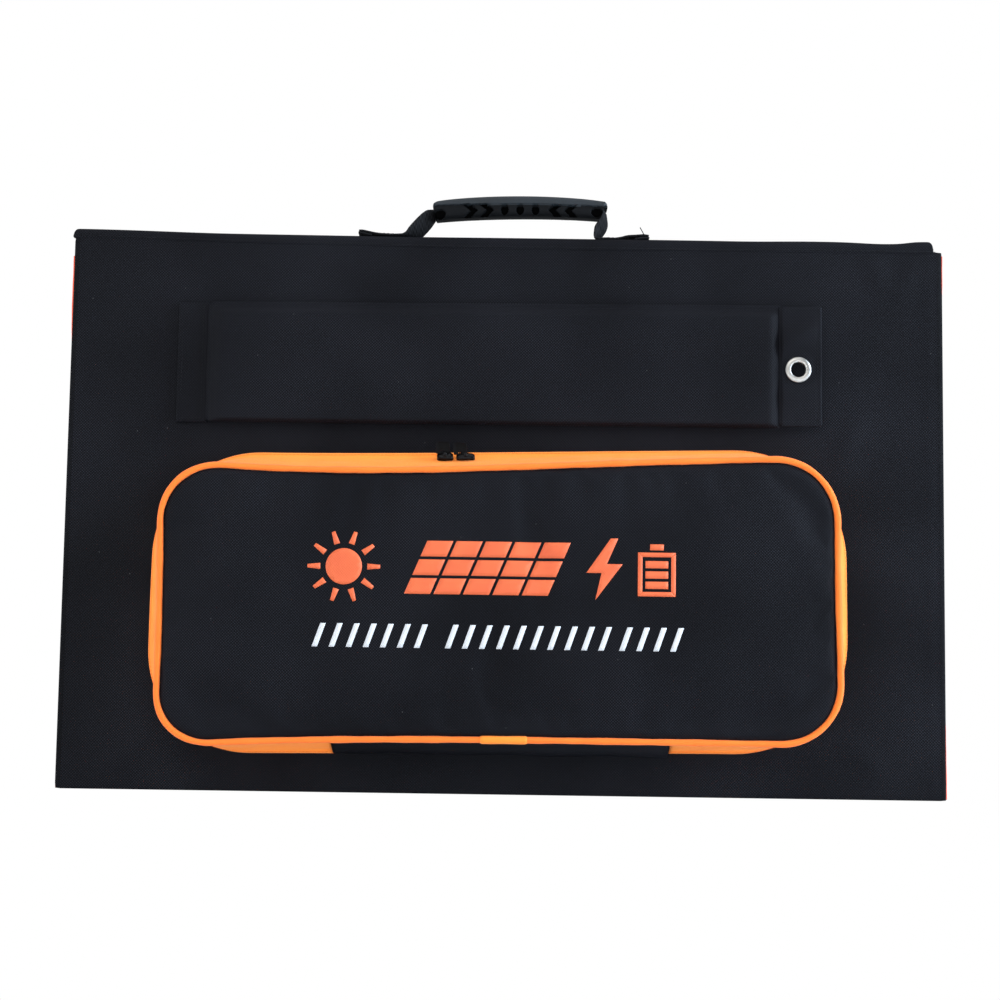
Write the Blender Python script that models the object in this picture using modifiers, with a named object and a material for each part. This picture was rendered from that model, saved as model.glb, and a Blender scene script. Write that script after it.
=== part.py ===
"""A folding solar blanket, folded shut and standing on its lower edge.

Four padded panels are stacked like the leaves of a Z: panels 1 and 2 hang from the front
spine, which carries the handle, panels 2 and 3 share a fold along the bottom, and panels
3 and 4 hang from the rear spine. The outer faces of panels 1 and 4 carry folding legs,
and panel 1 also carries a zipped pouch for the junction box and the output lead.

Units are metres, +Z is up and the front face looks along -Y. The origin is the middle of
the bottom face of panel 1. Run it with: blender --background --python part.py
"""

import math

import bmesh
import bpy
from mathutils import Matrix, Vector

# Panels
PANEL_WIDTH = 0.600
PANEL_HEIGHT = 0.373
PANEL_THICK = 0.010
PANEL_PITCH = 0.0115
COVER_SKIN = 0.0012
BINDING_THICK = 0.00105
CLEAR = 0.0003
REAR_DROP = 0.005  # the rear spine is lower, so that the handle clears it
INNER_BOTTOM = 0.004  # panels 2 and 3 end above the lower fold
REAR_BOTTOM = 0.001
FOLD_AXIS_Z = 0.0004

# Spines and handle
SPINE_Z = 0.380
SPINE_EDGE = 0.0006  # from a spine's fold axis to the edge of its strip
FOOT_WIDTH = 0.018
STRAP_THICK = 0.0016
SWING_AXIS_Z = 0.3835
GRIP_LEFT = -0.053
GRIP_RIGHT = 0.068
GRIP_HALF_DEPTH = 0.010
GRIP_END_LOW = 0.3938
GRIP_END_HIGH = 0.4048
GRIP_MID_LOW = 0.3983
GRIP_MID_HIGH = 0.4113

# Legs, as distances outwards from the panel face they fold against
LEG_Z = 0.290
LEG_HEIGHT = 0.083
LEG_LEFT = -0.2255
LEG_AXIS_X = -0.2045
LEG_CREASE_X = 0.1865
LEG_RIGHT = 0.2135
LEG_AXIS_OUT = 0.0009
SLEEVE_OUT = (0.0029, 0.0086)
SLEEVE_SKIN = 0.001
SLEEVE_MARGIN = 0.004  # sewn border of the sleeve around its board
FLAP_OUT = (0.0046, 0.0068)
GROMMET_X = 0.1985
GROMMET_HOLE = 0.005
GROMMET_RADIUS = 0.0089

# Pouch, as left, right, bottom and top
POUCH_BASE = (-0.238, 0.233, 0.027, 0.231)
POUCH_LID = (-0.226, 0.222, 0.037, 0.2165)
BASE_RADIUS = 0.040
LID_RADIUS = 0.034
ZIP_END_LEFT = -0.1125
ZIP_END_RIGHT = 0.1105
CORNER_STEPS = 7
TAPE_THICK = 0.001
COIL_RADIUS = 0.0007
BASE_COIL_Y = -0.0100
LID_COIL_Y = -0.0126
PIPING_RADIUS = 0.002
PIPING_Y = -0.031
SLEEVE_RADIUS = 0.0031  # the short sleeve that hides the joint in the piping
LID_SKIN = 0.0015
LID_AXIS = (-0.0065, 0.0275)
CHAIN_Z = POUCH_BASE[3] - TAPE_THICK / 2
SLIDER_LENGTH = 0.011
SLIDER_WIDTH = 0.0068
SLIDER_Y = -0.0113
SLIDER_LEFT_X = -0.039
SLIDER_RIGHT_X = -0.0272

# Output lead inside the pouch
BOX_LEFT = -0.070
BOX_RIGHT = 0.026
BOX_LOW = 0.096
BOX_HIGH = 0.152
LEAD_RADIUS = 0.0027
LEAD_Y = -0.012
LEAD_Z = 0.124

FRONT_Y = -PANEL_THICK / 2
REAR_Y = FRONT_Y + 3 * PANEL_PITCH + PANEL_THICK


def clear_scene():
    for obj in list(bpy.data.objects):
        bpy.data.objects.remove(obj)


def new_collection(name):
    collection = bpy.data.collections.new(name)
    bpy.context.scene.collection.children.link(collection)
    return collection


def new_material(name, colour, roughness, metallic=0.0):
    material = bpy.data.materials.new(name)
    material.use_nodes = True
    shader = material.node_tree.nodes["Principled BSDF"]
    shader.inputs["Base Color"].default_value = (*colour, 1.0)
    shader.inputs["Roughness"].default_value = roughness
    shader.inputs["Metallic"].default_value = metallic
    return material


clear_scene()
PARTS = new_collection("folding_solar_blanket")
CUTTERS = new_collection("cutters")

FABRIC = new_material("black_fabric", (0.013, 0.014, 0.017), 0.62)
BINDING = new_material("red_orange_binding", (0.62, 0.06, 0.02), 0.7)
ORANGE = new_material("orange_zip_tape", (0.85, 0.22, 0.05), 0.65)
BOARD = new_material("grey_board", (0.30, 0.30, 0.29), 0.8)
LAMINATE = new_material("solar_laminate", (0.01, 0.015, 0.04), 0.25)
WEBBING = new_material("black_webbing", (0.018, 0.018, 0.020), 0.8)
GRIP = new_material("grip_rubber", (0.020, 0.021, 0.024), 0.5)
NICKEL = new_material("nickel", (0.66, 0.65, 0.62), 0.25, 1.0)
BLACK_METAL = new_material("black_enamel", (0.01, 0.01, 0.012), 0.2, 0.3)
HOOK = new_material("hook_and_loop", (0.015, 0.015, 0.016), 0.95)
PLASTIC = new_material("black_plastic", (0.02, 0.02, 0.022), 0.4)
LEAD = new_material("lead_jacket", (0.015, 0.015, 0.016), 0.5)


# Small tools

def place_of(obj):
    """The world place of an object whose parents are only moved, not turned."""
    place = Vector((0, 0, 0))
    while obj:
        place = place + obj.location
        obj = obj.parent
    return place


def pivot(name, place, parent=None):
    """An empty on a joint's axis. What it carries is parented to it."""
    empty = bpy.data.objects.new(name, None)
    empty.empty_display_size = 0.02
    PARTS.objects.link(empty)
    return carry(empty, parent, Vector(place))


def carry(obj, parent, place=None):
    """Parents an object to a pivot and keeps its world place."""
    place = obj.location.copy() if place is None else place
    obj.parent = parent
    obj.location = place - place_of(parent)
    return obj


def add_object(name, data, material, parent=None, collection=None):
    obj = bpy.data.objects.new(name, data)
    (collection or PARTS).objects.link(obj)
    if material:
        data.materials.append(material)
    if parent:
        carry(obj, parent)
    return obj


def smooth(obj, angle=35):
    obj.data.shade_smooth()
    obj.data.set_sharp_from_angle(angle=math.radians(angle))
    return obj


def add_bevel(obj, width, segments=2):
    bevel = obj.modifiers.new("Rounded edges", "BEVEL")
    bevel.width = width
    bevel.segments = segments
    bevel.limit_method = "ANGLE"
    bevel.angle_limit = math.radians(40)
    return obj


def box(name, x, y, z, material=None, parent=None, bevel=0.0, collection=None):
    """A box between the two values of each of x, y and z."""
    low = Vector((min(x), min(y), min(z)))
    high = Vector((max(x), max(y), max(z)))
    shape = bmesh.new()
    bmesh.ops.create_cube(shape, size=1.0)
    bmesh.ops.scale(shape, vec=high - low, verts=shape.verts)
    mesh = bpy.data.meshes.new(name)
    shape.to_mesh(mesh)
    shape.free()
    obj = add_object(name, mesh, material, None, collection)
    obj.location = (low + high) / 2
    if parent:
        carry(obj, parent)
    if bevel:
        add_bevel(obj, bevel)
    return obj


def helper(obj):
    """Marks an object as a cutter or a filler: it is used by a Boolean and isn't a part."""
    obj.hide_render = True
    obj.display_type = "WIRE"
    return obj


def helper_box(name, x, y, z):
    return helper(box(name, x, y, z, collection=CUTTERS))


def boolean(obj, other, operation):
    modifier = obj.modifiers.new(operation.title(), "BOOLEAN")
    modifier.operation = operation
    modifier.object = other
    return obj


def turned(name, profile, centre, material, parent, steps=28):
    """A ring turned about the Y direction from (radius, y) points, listed from its high y down."""
    mesh = bpy.data.meshes.new(name)
    points = [(radius, 0.0, y) for radius, y in profile]
    edges = [(i, (i + 1) % len(points)) for i in range(len(points))]
    mesh.from_pydata(points, edges, [])
    obj = add_object(name, mesh, material)
    obj.location = centre
    obj.rotation_euler.x = -math.pi / 2
    screw = obj.modifiers.new("Turn", "SCREW")
    screw.steps = steps
    screw.render_steps = steps
    screw.use_merge_vertices = True
    screw.merge_threshold = 1e-6
    if parent:
        carry(obj, parent)
    return obj


def tube(name, points, radius, material, parent, closed=False):
    """A round cord through (x, y, z) points."""
    curve = bpy.data.curves.new(name, "CURVE")
    curve.dimensions = "3D"
    curve.bevel_depth = radius
    curve.bevel_resolution = 2
    curve.use_fill_caps = True
    spline = curve.splines.new("POLY")
    spline.points.add(len(points) - 1)
    for point, place in zip(spline.points, points):
        point.co = (*place, 1.0)
    spline.use_cyclic_u = closed
    return add_object(name, curve, material, parent)


def upright_plate(name, outline, y, material, parent, bevel=0.0):
    """A flat plate from an (x, z) outline, between the two values of y."""
    curve = bpy.data.curves.new(name, "CURVE")
    curve.dimensions = "2D"
    curve.fill_mode = "BOTH"
    curve.extrude = abs(y[1] - y[0]) / 2
    spline = curve.splines.new("POLY")
    spline.points.add(len(outline) - 1)
    for point, (px, pz) in zip(spline.points, outline):
        point.co = (px, pz, 0.0, 1.0)
    spline.use_cyclic_u = True
    drawn = bpy.data.objects.new(name + "_outline", curve)
    CUTTERS.objects.link(drawn)
    graph = bpy.context.evaluated_depsgraph_get()
    mesh = bpy.data.meshes.new_from_object(drawn.evaluated_get(graph))
    bpy.data.objects.remove(drawn)
    shape = bmesh.new()
    shape.from_mesh(mesh)
    bmesh.ops.remove_doubles(shape, verts=shape.verts, dist=1e-6)
    bmesh.ops.rotate(shape, cent=(0, 0, 0), matrix=Matrix.Rotation(math.pi / 2, 3, "X"), verts=shape.verts)
    bmesh.ops.recalc_face_normals(shape, faces=shape.faces)
    shape.to_mesh(mesh)
    shape.free()
    obj = add_object(name, mesh, material)
    obj.location = (0, (y[0] + y[1]) / 2, 0)
    if parent:
        carry(obj, parent)
    if bevel:
        add_bevel(obj, bevel)
    return obj


def arc(centre, radius, first, last, steps):
    """Points on a circle between two angles in degrees, both ends included."""
    angles = [math.radians(first + (last - first) * i / steps) for i in range(steps + 1)]
    return [(centre[0] + radius * math.cos(a), centre[1] + radius * math.sin(a)) for a in angles]


def rounded_outline(sides, radius, start, end, steps=CORNER_STEPS):
    """The anticlockwise outline of a rounded rectangle, from (start, bottom) round to (end, bottom)."""
    left, right, low, high = sides
    points = [(start, low)]
    points += arc((right - radius, low + radius), radius, -90, 0, steps)
    points += arc((right - radius, high - radius), radius, 0, 90, steps)
    points += arc((left + radius, high - radius), radius, 90, 180, steps)
    points += arc((left + radius, low + radius), radius, 180, 270, steps)
    if end != start:
        points.append((end, low))
    return points


def inset(sides, distance):
    left, right, low, high = sides
    return (left + distance, right - distance, low + distance, high - distance)


def shell(name, rings, closed, thickness, material, parent, cap=False):
    """A sheet through rings of points, thickened inwards."""
    shape = bmesh.new()
    rows = [[shape.verts.new(point) for point in ring] for ring in rings]
    for near, far in zip(rows, rows[1:]):
        count = len(near)
        for i in range(count if closed else count - 1):
            j = (i + 1) % count
            shape.faces.new((near[i], near[j], far[j], far[i]))
    if cap:
        shape.faces.new(rows[-1])
    mesh = bpy.data.meshes.new(name)
    shape.to_mesh(mesh)
    shape.free()
    obj = add_object(name, mesh, material, parent)
    solidify = obj.modifiers.new("Thickness", "SOLIDIFY")
    solidify.thickness = thickness
    solidify.offset = -1
    solidify.use_even_offset = True
    return smooth(obj)


def at_depth(outline, y):
    return [(x, y, z) for x, z in outline]


def ribbon(name, stations, thickness, material, parent):
    """A flat strap swept through stations of (centre, half-width vector)."""
    shape = bmesh.new()
    rows = []
    centres = [Vector(centre) for centre, _ in stations]
    for i, (_, half) in enumerate(stations):
        half = Vector(half)
        along = centres[min(i + 1, len(centres) - 1)] - centres[max(i - 1, 0)]
        out = along.cross(half).normalized() * (thickness / 2)
        corners = (half + out, -half + out, -half - out, half - out)
        rows.append([shape.verts.new(centres[i] + corner) for corner in corners])
    for near, far in zip(rows, rows[1:]):
        for i in range(4):
            j = (i + 1) % 4
            shape.faces.new((near[i], near[j], far[j], far[i]))
    shape.faces.new(rows[0][::-1])
    shape.faces.new(rows[-1])
    bmesh.ops.recalc_face_normals(shape, faces=shape.faces)
    mesh = bpy.data.meshes.new(name)
    shape.to_mesh(mesh)
    shape.free()
    return add_object(name, mesh, material, parent)


# Panels

def panel(name, index, bottom, top, spine_z, fold, parent):
    """One leaf: a fabric tray that is open on its cell side, its board, laminate and bindings."""
    near = FRONT_Y + index * PANEL_PITCH
    cells_face_rear = index % 2 == 0
    back = near if cells_face_rear else near + PANEL_THICK
    inward = 1 if cells_face_rear else -1

    def depth(first, second):
        return (back + inward * first, back + inward * second)

    half = PANEL_WIDTH / 2 - BINDING_THICK - CLEAR
    tray_depth = depth(0, PANEL_THICK)
    cover = box(name + "_cover", (-half, half), tray_depth, (bottom, top), FABRIC, parent, bevel=0.0018)
    inner = half - COVER_SKIN
    pocket_z = (bottom + COVER_SKIN, top - COVER_SKIN)
    pocket = helper_box(name + "_pocket", (-inner, inner), depth(COVER_SKIN, 2 * PANEL_THICK), pocket_z)
    boolean(cover, pocket, "DIFFERENCE")
    overlap = 0.003
    skin_x = (-half + 0.002, half - 0.002)
    skin_depth = depth(0.00001, COVER_SKIN + 0.00001)
    riser_z = (top - overlap, spine_z - 0.0008)
    riser = helper_box(name + "_riser", skin_x, skin_depth, riser_z)
    boolean(cover, riser, "UNION")
    if fold:
        flap_z = (FOLD_AXIS_Z + CLEAR, bottom + overlap)
        flap = helper_box(name + "_fold", skin_x, skin_depth, flap_z)
        boolean(cover, flap, "UNION")

    inner -= CLEAR
    inner_z = (pocket_z[0] + CLEAR, pocket_z[1] - CLEAR)
    board_depth = depth(COVER_SKIN + CLEAR, 0.0068)
    box(name + "_board", (-inner, inner), board_depth, inner_z, BOARD, parent, bevel=0.0006)
    laminate_depth = depth(0.0068 + CLEAR, PANEL_THICK - 0.0004)
    box(name + "_laminate", (-inner, inner), laminate_depth, inner_z, LAMINATE, parent, bevel=0.0004)
    edge = half + CLEAR
    edge_z = (bottom + 0.001, top - 0.001)
    for side, word in ((-1, "left"), (1, "right")):
        edge_x = (side * edge, side * PANEL_WIDTH / 2)
        box(f"{name}_binding_{word}", edge_x, depth(0.001, 0.009), edge_z, BINDING, parent, bevel=0.0004)


def spine_strip(name, first_axis, second_axis, parent):
    (y0, z), (y1, _) = first_axis, second_axis
    half = PANEL_WIDTH / 2 - 0.003
    y = (y0 + SPINE_EDGE, y1 - SPINE_EDGE)
    box(name, (-half, half), y, (z - 0.0004, z + 0.0008), FABRIC, parent, bevel=0.0004)


# Handle

def handle_foot(name, outer_x, inner_x, fold_length, parent):
    """The flat end of the strap, sewn to the spine with its tip folded under."""
    middle = FRONT_Y + (PANEL_PITCH + PANEL_THICK) / 2
    low = SPINE_Z + 0.0011
    top = low + 0.0015
    tip_top = low + 0.0032
    turn = outer_x + math.copysign(fold_length, inner_x - outer_x)
    outline = [(outer_x, low), (inner_x, low), (inner_x, top)]
    outline += [(turn, top), (turn, tip_top), (outer_x, tip_top)]
    y = (middle - FOOT_WIDTH / 2, middle + FOOT_WIDTH / 2)
    upright_plate(name, outline, y, WEBBING, parent, bevel=0.0004)


def grip_arch(fraction, end_z, mid_z):
    """Height of the arched grip at a fraction of its length."""
    return end_z + (mid_z - end_z) * math.sin(math.pi * fraction)


def handle(parent):
    middle = FRONT_Y + (PANEL_PITCH + PANEL_THICK) / 2
    steps = 12
    fractions = [i / steps for i in range(steps + 1)]
    xs = [GRIP_LEFT + (GRIP_RIGHT - GRIP_LEFT) * f for f in fractions]
    lower = [(x, grip_arch(f, GRIP_END_LOW, GRIP_MID_LOW)) for x, f in zip(xs, fractions)]
    upper = [(x, grip_arch(f, GRIP_END_HIGH, GRIP_MID_HIGH)) for x, f in zip(xs, fractions)]
    y = (middle - GRIP_HALF_DEPTH, middle + GRIP_HALF_DEPTH)
    grip = upright_plate("handle_grip", lower + upper[::-1], y, GRIP, parent)
    add_bevel(grip, 0.003, 3)

    end_z = (GRIP_END_LOW + GRIP_END_HIGH) / 2
    mid_z = (GRIP_MID_LOW + GRIP_MID_HIGH) / 2
    wide = Vector((0, 0.007, 0))
    line = [(x, middle, grip_arch(f, end_z, mid_z)) for x, f in zip(xs, fractions)]
    left = [(-0.0575, 0.397), (-0.0598, 0.3925), (-0.0615, 0.388), (-0.063, 0.384)]
    right = [(0.0728, 0.397), (0.0740, 0.3925), (0.0710, 0.388), (0.0665, 0.384)]

    def riser(points, facing):
        """Stations where the strap leaves the grip and turns its flat side to the front."""
        turned_by = [35, 70, 90, 90]
        stations = []
        for (x, z), angle in zip(points, turned_by):
            turn = math.radians(angle)
            half = Vector((facing * 0.0055 * math.sin(turn), 0.007 * math.cos(turn), 0))
            stations.append(((x, middle, z), half))
        return stations

    stations = riser(left, 1)[::-1] + [(point, wide) for point in line] + riser(right, -1)
    ribbon("handle_strap", stations, STRAP_THICK, WEBBING, parent)

    beyond = 0.006
    slot_line = [(line[0][0] - beyond, middle, line[0][2] - 0.0005), *line,
                 (line[-1][0] + beyond, middle, line[-1][2] - 0.0005)]
    slot = [(point, Vector((0, 0.0076, 0))) for point in slot_line]
    cutter = helper(ribbon("grip_slot", slot, STRAP_THICK + 0.0014, None, None))
    PARTS.objects.unlink(cutter)
    CUTTERS.objects.link(cutter)
    boolean(grip, cutter, "DIFFERENCE")


# Legs

def rounded_plate_outline(left, right, low, high, radius):
    middle = (left + right) / 2
    return rounded_outline((left, right, low, high), radius, middle, middle, 4)[1:]


def leg(name, face_y, outward, panel_pivot):
    """A padded leg on a panel's outer face: sewn at its left end, with a pegging flap at its right end."""
    low = LEG_Z - LEG_HEIGHT / 2
    high = LEG_Z + LEG_HEIGHT / 2

    def out(first, second):
        return tuple(sorted((face_y + outward * first, face_y + outward * second)))

    anchor_outline = rounded_plate_outline(LEG_LEFT, LEG_AXIS_X - 0.0008, low, high, 0.002)
    upright_plate(name + "_anchor", anchor_outline, out(CLEAR, 0.0023), FABRIC, panel_pivot, bevel=0.0005)
    patch_z = (LEG_Z - 0.0125, LEG_Z + 0.0125)
    box(name + "_loop_patch", (0.100, 0.170), out(CLEAR, 0.0013), patch_z, HOOK, panel_pivot)

    hinge = pivot(name + "_hinge", (LEG_AXIS_X, face_y + outward * LEG_AXIS_OUT, LEG_Z), panel_pivot)
    box(name + "_hook_patch", (0.102, 0.168), out(0.0016, SLEEVE_OUT[0] - CLEAR), patch_z, HOOK, hinge)
    sleeve_x = (LEG_AXIS_X + 0.0015, LEG_CREASE_X - 0.0004)
    sleeve = box(name + "_sleeve", sleeve_x, out(*SLEEVE_OUT), (low, high), FABRIC, hinge, bevel=0.002)
    pocket_x = (sleeve_x[0] + SLEEVE_MARGIN, sleeve_x[1] + 0.01)
    pocket_out = out(SLEEVE_OUT[0] + SLEEVE_SKIN, SLEEVE_OUT[1] - SLEEVE_SKIN)
    pocket_z = (low + SLEEVE_MARGIN, high - SLEEVE_MARGIN)
    boolean(sleeve, helper_box(name + "_pocket", pocket_x, pocket_out, pocket_z), "DIFFERENCE")
    board_x = (pocket_x[0] + CLEAR, sleeve_x[1] - 0.001)
    board_z = (pocket_z[0] + CLEAR, pocket_z[1] - CLEAR)
    board_out = (pocket_out[0] + CLEAR, pocket_out[1] - CLEAR)
    board_outline = rounded_plate_outline(*board_x, *board_z, 0.006)
    upright_plate(name + "_board", board_outline, board_out, BOARD, hinge)

    crease = pivot(name + "_crease", (LEG_CREASE_X, face_y + outward * SLEEVE_OUT[1], LEG_Z), hinge)
    flap_outline = rounded_plate_outline(LEG_CREASE_X + 0.0004, LEG_RIGHT, low + 0.001, high - 0.001, 0.003)
    flap = upright_plate(name + "_foot_flap", flap_outline, out(*FLAP_OUT), FABRIC, crease)
    barrel = GROMMET_HOLE + 0.0007
    centre = Vector((GROMMET_X, 0, LEG_Z))
    hole = bpy.data.meshes.new(name + "_hole")
    shape = bmesh.new()
    bore = barrel + CLEAR
    bmesh.ops.create_cone(shape, cap_ends=True, segments=28, radius1=bore, radius2=bore, depth=0.02)
    shape.to_mesh(hole)
    shape.free()
    cutter = helper(add_object(name + "_hole", hole, None, None, CUTTERS))
    cutter.location = centre + Vector((0, sum(out(*FLAP_OUT)) / 2, 0))
    cutter.rotation_euler.x = math.pi / 2
    boolean(flap, cutter, "DIFFERENCE")

    def ring(suffix, first, second, inner, outer):
        y0, y1 = out(first, second)
        profile = [(outer, y1), (outer, y0), (inner, y0), (inner, y1)]
        return turned(name + suffix, profile, centre, NICKEL, crease)

    ring_low = FLAP_OUT[0] - 0.0012
    flange_base = FLAP_OUT[1] + CLEAR
    flange_top = flange_base + 0.0009
    y0, y1, y2 = (face_y + outward * d for d in (ring_low, flange_base, flange_top))
    profile = [(barrel, y0), (barrel, y1), (GROMMET_RADIUS, y1), (GROMMET_RADIUS, y2), (GROMMET_HOLE, y2),
               (GROMMET_HOLE, y0)]
    if outward > 0:
        profile = profile[::-1]
    turned(name + "_grommet", profile, centre, NICKEL, crease)
    ring("_grommet_washer", FLAP_OUT[0] - 0.0011, FLAP_OUT[0] - CLEAR, bore, GROMMET_RADIUS - 0.0006)


# Pouch

def zip_path(sides, radius):
    """The outline that the zip follows, open along the bottom between its two ends."""
    return rounded_outline(sides, radius, ZIP_END_RIGHT, ZIP_END_LEFT)


def pouch_base(parent):
    path = zip_path(POUCH_BASE, BASE_RADIUS)
    rings = [at_depth(path, FRONT_Y - CLEAR), at_depth(path, BASE_COIL_Y + COIL_RADIUS + CLEAR)]
    shell("zip_tape_base", rings, False, TAPE_THICK, ORANGE, parent)
    coil_path = zip_path(inset(POUCH_BASE, TAPE_THICK / 2), BASE_RADIUS - TAPE_THICK / 2)
    tube("zip_coil_base", at_depth(coil_path, BASE_COIL_Y), COIL_RADIUS, ORANGE, parent)


def pouch_lid(parent):
    hinge = pivot("pouch_lid_hinge", (0, *LID_AXIS), parent)
    base_path = zip_path(POUCH_BASE, BASE_RADIUS)
    lid_path = zip_path(POUCH_LID, LID_RADIUS)
    tape_start = LID_COIL_Y - COIL_RADIUS - CLEAR
    tape_end = PIPING_Y + SLEEVE_RADIUS + 0.0004
    tape_turn = tape_start - 0.0024
    rings = [at_depth(base_path, tape_start), at_depth(base_path, tape_turn), at_depth(lid_path, tape_end)]
    shell("zip_tape_lid", rings, False, TAPE_THICK, ORANGE, hinge)
    coil_path = zip_path(inset(POUCH_BASE, TAPE_THICK / 2), BASE_RADIUS - TAPE_THICK / 2)
    tube("zip_coil_lid", at_depth(coil_path, LID_COIL_Y), COIL_RADIUS, ORANGE, hinge)

    gusset_x = (ZIP_END_LEFT + 0.0005, ZIP_END_RIGHT - 0.0005)
    rows = [(POUCH_BASE[2], LID_AXIS[0] - 0.0006), (POUCH_BASE[2], tape_turn), (POUCH_LID[2], tape_end)]
    rings = [[(gusset_x[0], y, z), (0, y, z), (gusset_x[1], y, z)] for z, y in rows]
    shell("lid_hinge_gusset", rings, False, TAPE_THICK, FABRIC, hinge)

    loop = rounded_outline(POUCH_LID, LID_RADIUS, 0, 0)
    tube("lid_piping", at_depth(loop, PIPING_Y), PIPING_RADIUS, ORANGE, hinge, closed=True)
    sleeve = [(SLEEVE_RADIUS, 0.0155), (SLEEVE_RADIUS, -0.0155),
              (PIPING_RADIUS + 0.0004, -0.0155), (PIPING_RADIUS + 0.0004, 0.0155)]
    joint = turned("lid_piping_sleeve", sleeve, (0.0017, PIPING_Y, POUCH_LID[2]), ORANGE, hinge, 16)
    joint.rotation_euler = (0, math.pi / 2, 0)

    crown = [(0.0036, PIPING_Y), (0.0046, -0.0328), (0.012, -0.0345), (0.032, -0.0358), (0.060, -0.0362)]
    rings = []
    for distance, y in crown:
        radius = max(LID_RADIUS - distance, 0.006)
        rings.append(at_depth(rounded_outline(inset(POUCH_LID, distance), radius, 0, 0), y))
    shell("lid_panel", rings, True, LID_SKIN, FABRIC, hinge, cap=True)
    return hinge


def slider(name, x, parent):
    """A zip slider: two plates joined by a thin post between the coils, and a bridge for its pull."""
    sled = pivot(name + "_travel", (x, SLIDER_Y, CHAIN_Z), parent)
    half_x = SLIDER_LENGTH / 2
    half_y = SLIDER_WIDTH / 2
    plate_x = (x - half_x, x + half_x)
    plate_y = (SLIDER_Y - half_y, SLIDER_Y + half_y)
    inner = COIL_RADIUS + 0.0004
    outer = inner + 0.0012
    body = box(name, plate_x, plate_y, (CHAIN_Z + inner, CHAIN_Z + outer), BLACK_METAL, sled, bevel=0.0004)
    lower = helper_box(name + "_lower", plate_x, plate_y, (CHAIN_Z - outer, CHAIN_Z - inner))
    post_y = (SLIDER_Y - 0.0003, SLIDER_Y + 0.0003)
    post_z = (CHAIN_Z - inner - 0.0005, CHAIN_Z + inner + 0.0005)
    post = helper_box(name + "_post", (x - 0.002, x + 0.002), post_y, post_z)
    boolean(post, lower, "UNION")
    boolean(body, post, "UNION")
    top = CHAIN_Z + outer
    arch_y = (SLIDER_Y - 0.0015, SLIDER_Y + 0.0015)
    arch = helper_box(name + "_arch", (x - 0.001, x + 0.001), arch_y, (top - 0.0006, top + 0.0024))
    window_y = (SLIDER_Y - 0.0009, SLIDER_Y + 0.0009)
    window = helper_box(name + "_window", (x - 0.004, x + 0.004), window_y, (top, top + 0.0018))
    boolean(arch, window, "DIFFERENCE")
    boolean(body, arch, "UNION")

    axis_z = top + 0.0009
    hinge = pivot(name + "_pull_hinge", (x, SLIDER_Y, axis_z), sled)
    pull_y = (SLIDER_Y - 0.0005, SLIDER_Y + 0.0005)
    pull_z = (axis_z - 0.0004, axis_z + 0.0078)
    pull = box(name.replace("slider", "pull"), (x - 0.004, x + 0.004), pull_y, pull_z, BLACK_METAL, hinge)
    eye = helper_box(name + "_eye", (x - 0.0014, x + 0.0014), (SLIDER_Y - 0.005, SLIDER_Y + 0.005),
                     (axis_z + 0.0004, axis_z + 0.0024))
    boolean(pull, eye, "DIFFERENCE")


# Junction box and output lead

def filleted(points, radius, steps=6):
    """An open path through (x, z) corners, each rounded to the radius."""
    path = [Vector(points[0])]
    for before, corner, after in zip(points, points[1:], points[2:]):
        corner = Vector(corner)
        to_before = (Vector(before) - corner).normalized()
        to_after = (Vector(after) - corner).normalized()
        centre = corner + (to_before + to_after) * radius
        for i in range(steps + 1):
            turn = math.pi / 2 * i / steps
            path.append(centre - to_after * radius * math.cos(turn) - to_before * radius * math.sin(turn))
    path.append(Vector(points[-1]))
    return path


def output_lead(parent):
    wall = 0.002
    face = FRONT_Y - CLEAR
    rim = -0.019
    box_x, box_z = (BOX_LEFT, BOX_RIGHT), (BOX_LOW, BOX_HIGH)
    base = box("junction_box_base", box_x, (rim, face), box_z, PLASTIC, parent, bevel=0.001)
    hollow = helper_box("junction_box_hollow", (BOX_LEFT + wall, BOX_RIGHT - wall), (rim - 0.01, face - wall),
                        (BOX_LOW + wall, BOX_HIGH - wall))
    boolean(base, hollow, "DIFFERENCE")
    box("junction_box_lid", (BOX_LEFT, BOX_RIGHT), (rim - CLEAR - 0.0025, rim - CLEAR), (BOX_LOW, BOX_HIGH),
        PLASTIC, parent, bevel=0.0008)
    gland_start = BOX_RIGHT + CLEAR
    gland_end = gland_start + 0.011
    half = (gland_end - gland_start) / 2
    outer = 0.0056
    inner = LEAD_RADIUS + CLEAR
    profile = [(outer, half), (outer, -half), (inner, -half), (inner, half)]
    gland = turned("cable_gland", profile, (gland_start + half, LEAD_Y, LEAD_Z), PLASTIC, parent, 18)
    gland.rotation_euler = (0, math.pi / 2, 0)

    route = [(gland_start + 0.002, LEAD_Z), (0.095, LEAD_Z), (0.095, 0.056)]
    route += [(-0.185, 0.056), (-0.185, 0.190), (0.044, 0.190)]
    lead = [(x, LEAD_Y, z) for x, z in filleted(route, 0.028)]
    tube("output_lead", lead, LEAD_RADIUS, LEAD, parent)
    plug_x = (0.0445, 0.0785)
    plug_y, plug_z = (LEAD_Y - 0.005, LEAD_Y + 0.005), (0.182, 0.198)
    plug = box("output_connector", plug_x, plug_y, plug_z, PLASTIC, parent, bevel=0.0008)
    for z in (0.186, 0.194):
        socket = helper_box("connector_socket", (plug_x[1] - 0.012, plug_x[1] + 0.01), (LEAD_Y - 0.003, LEAD_Y + 0.003),
                            (z - 0.0025, z + 0.0025))
        boolean(plug, socket, "DIFFERENCE")


# Assembly

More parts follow.
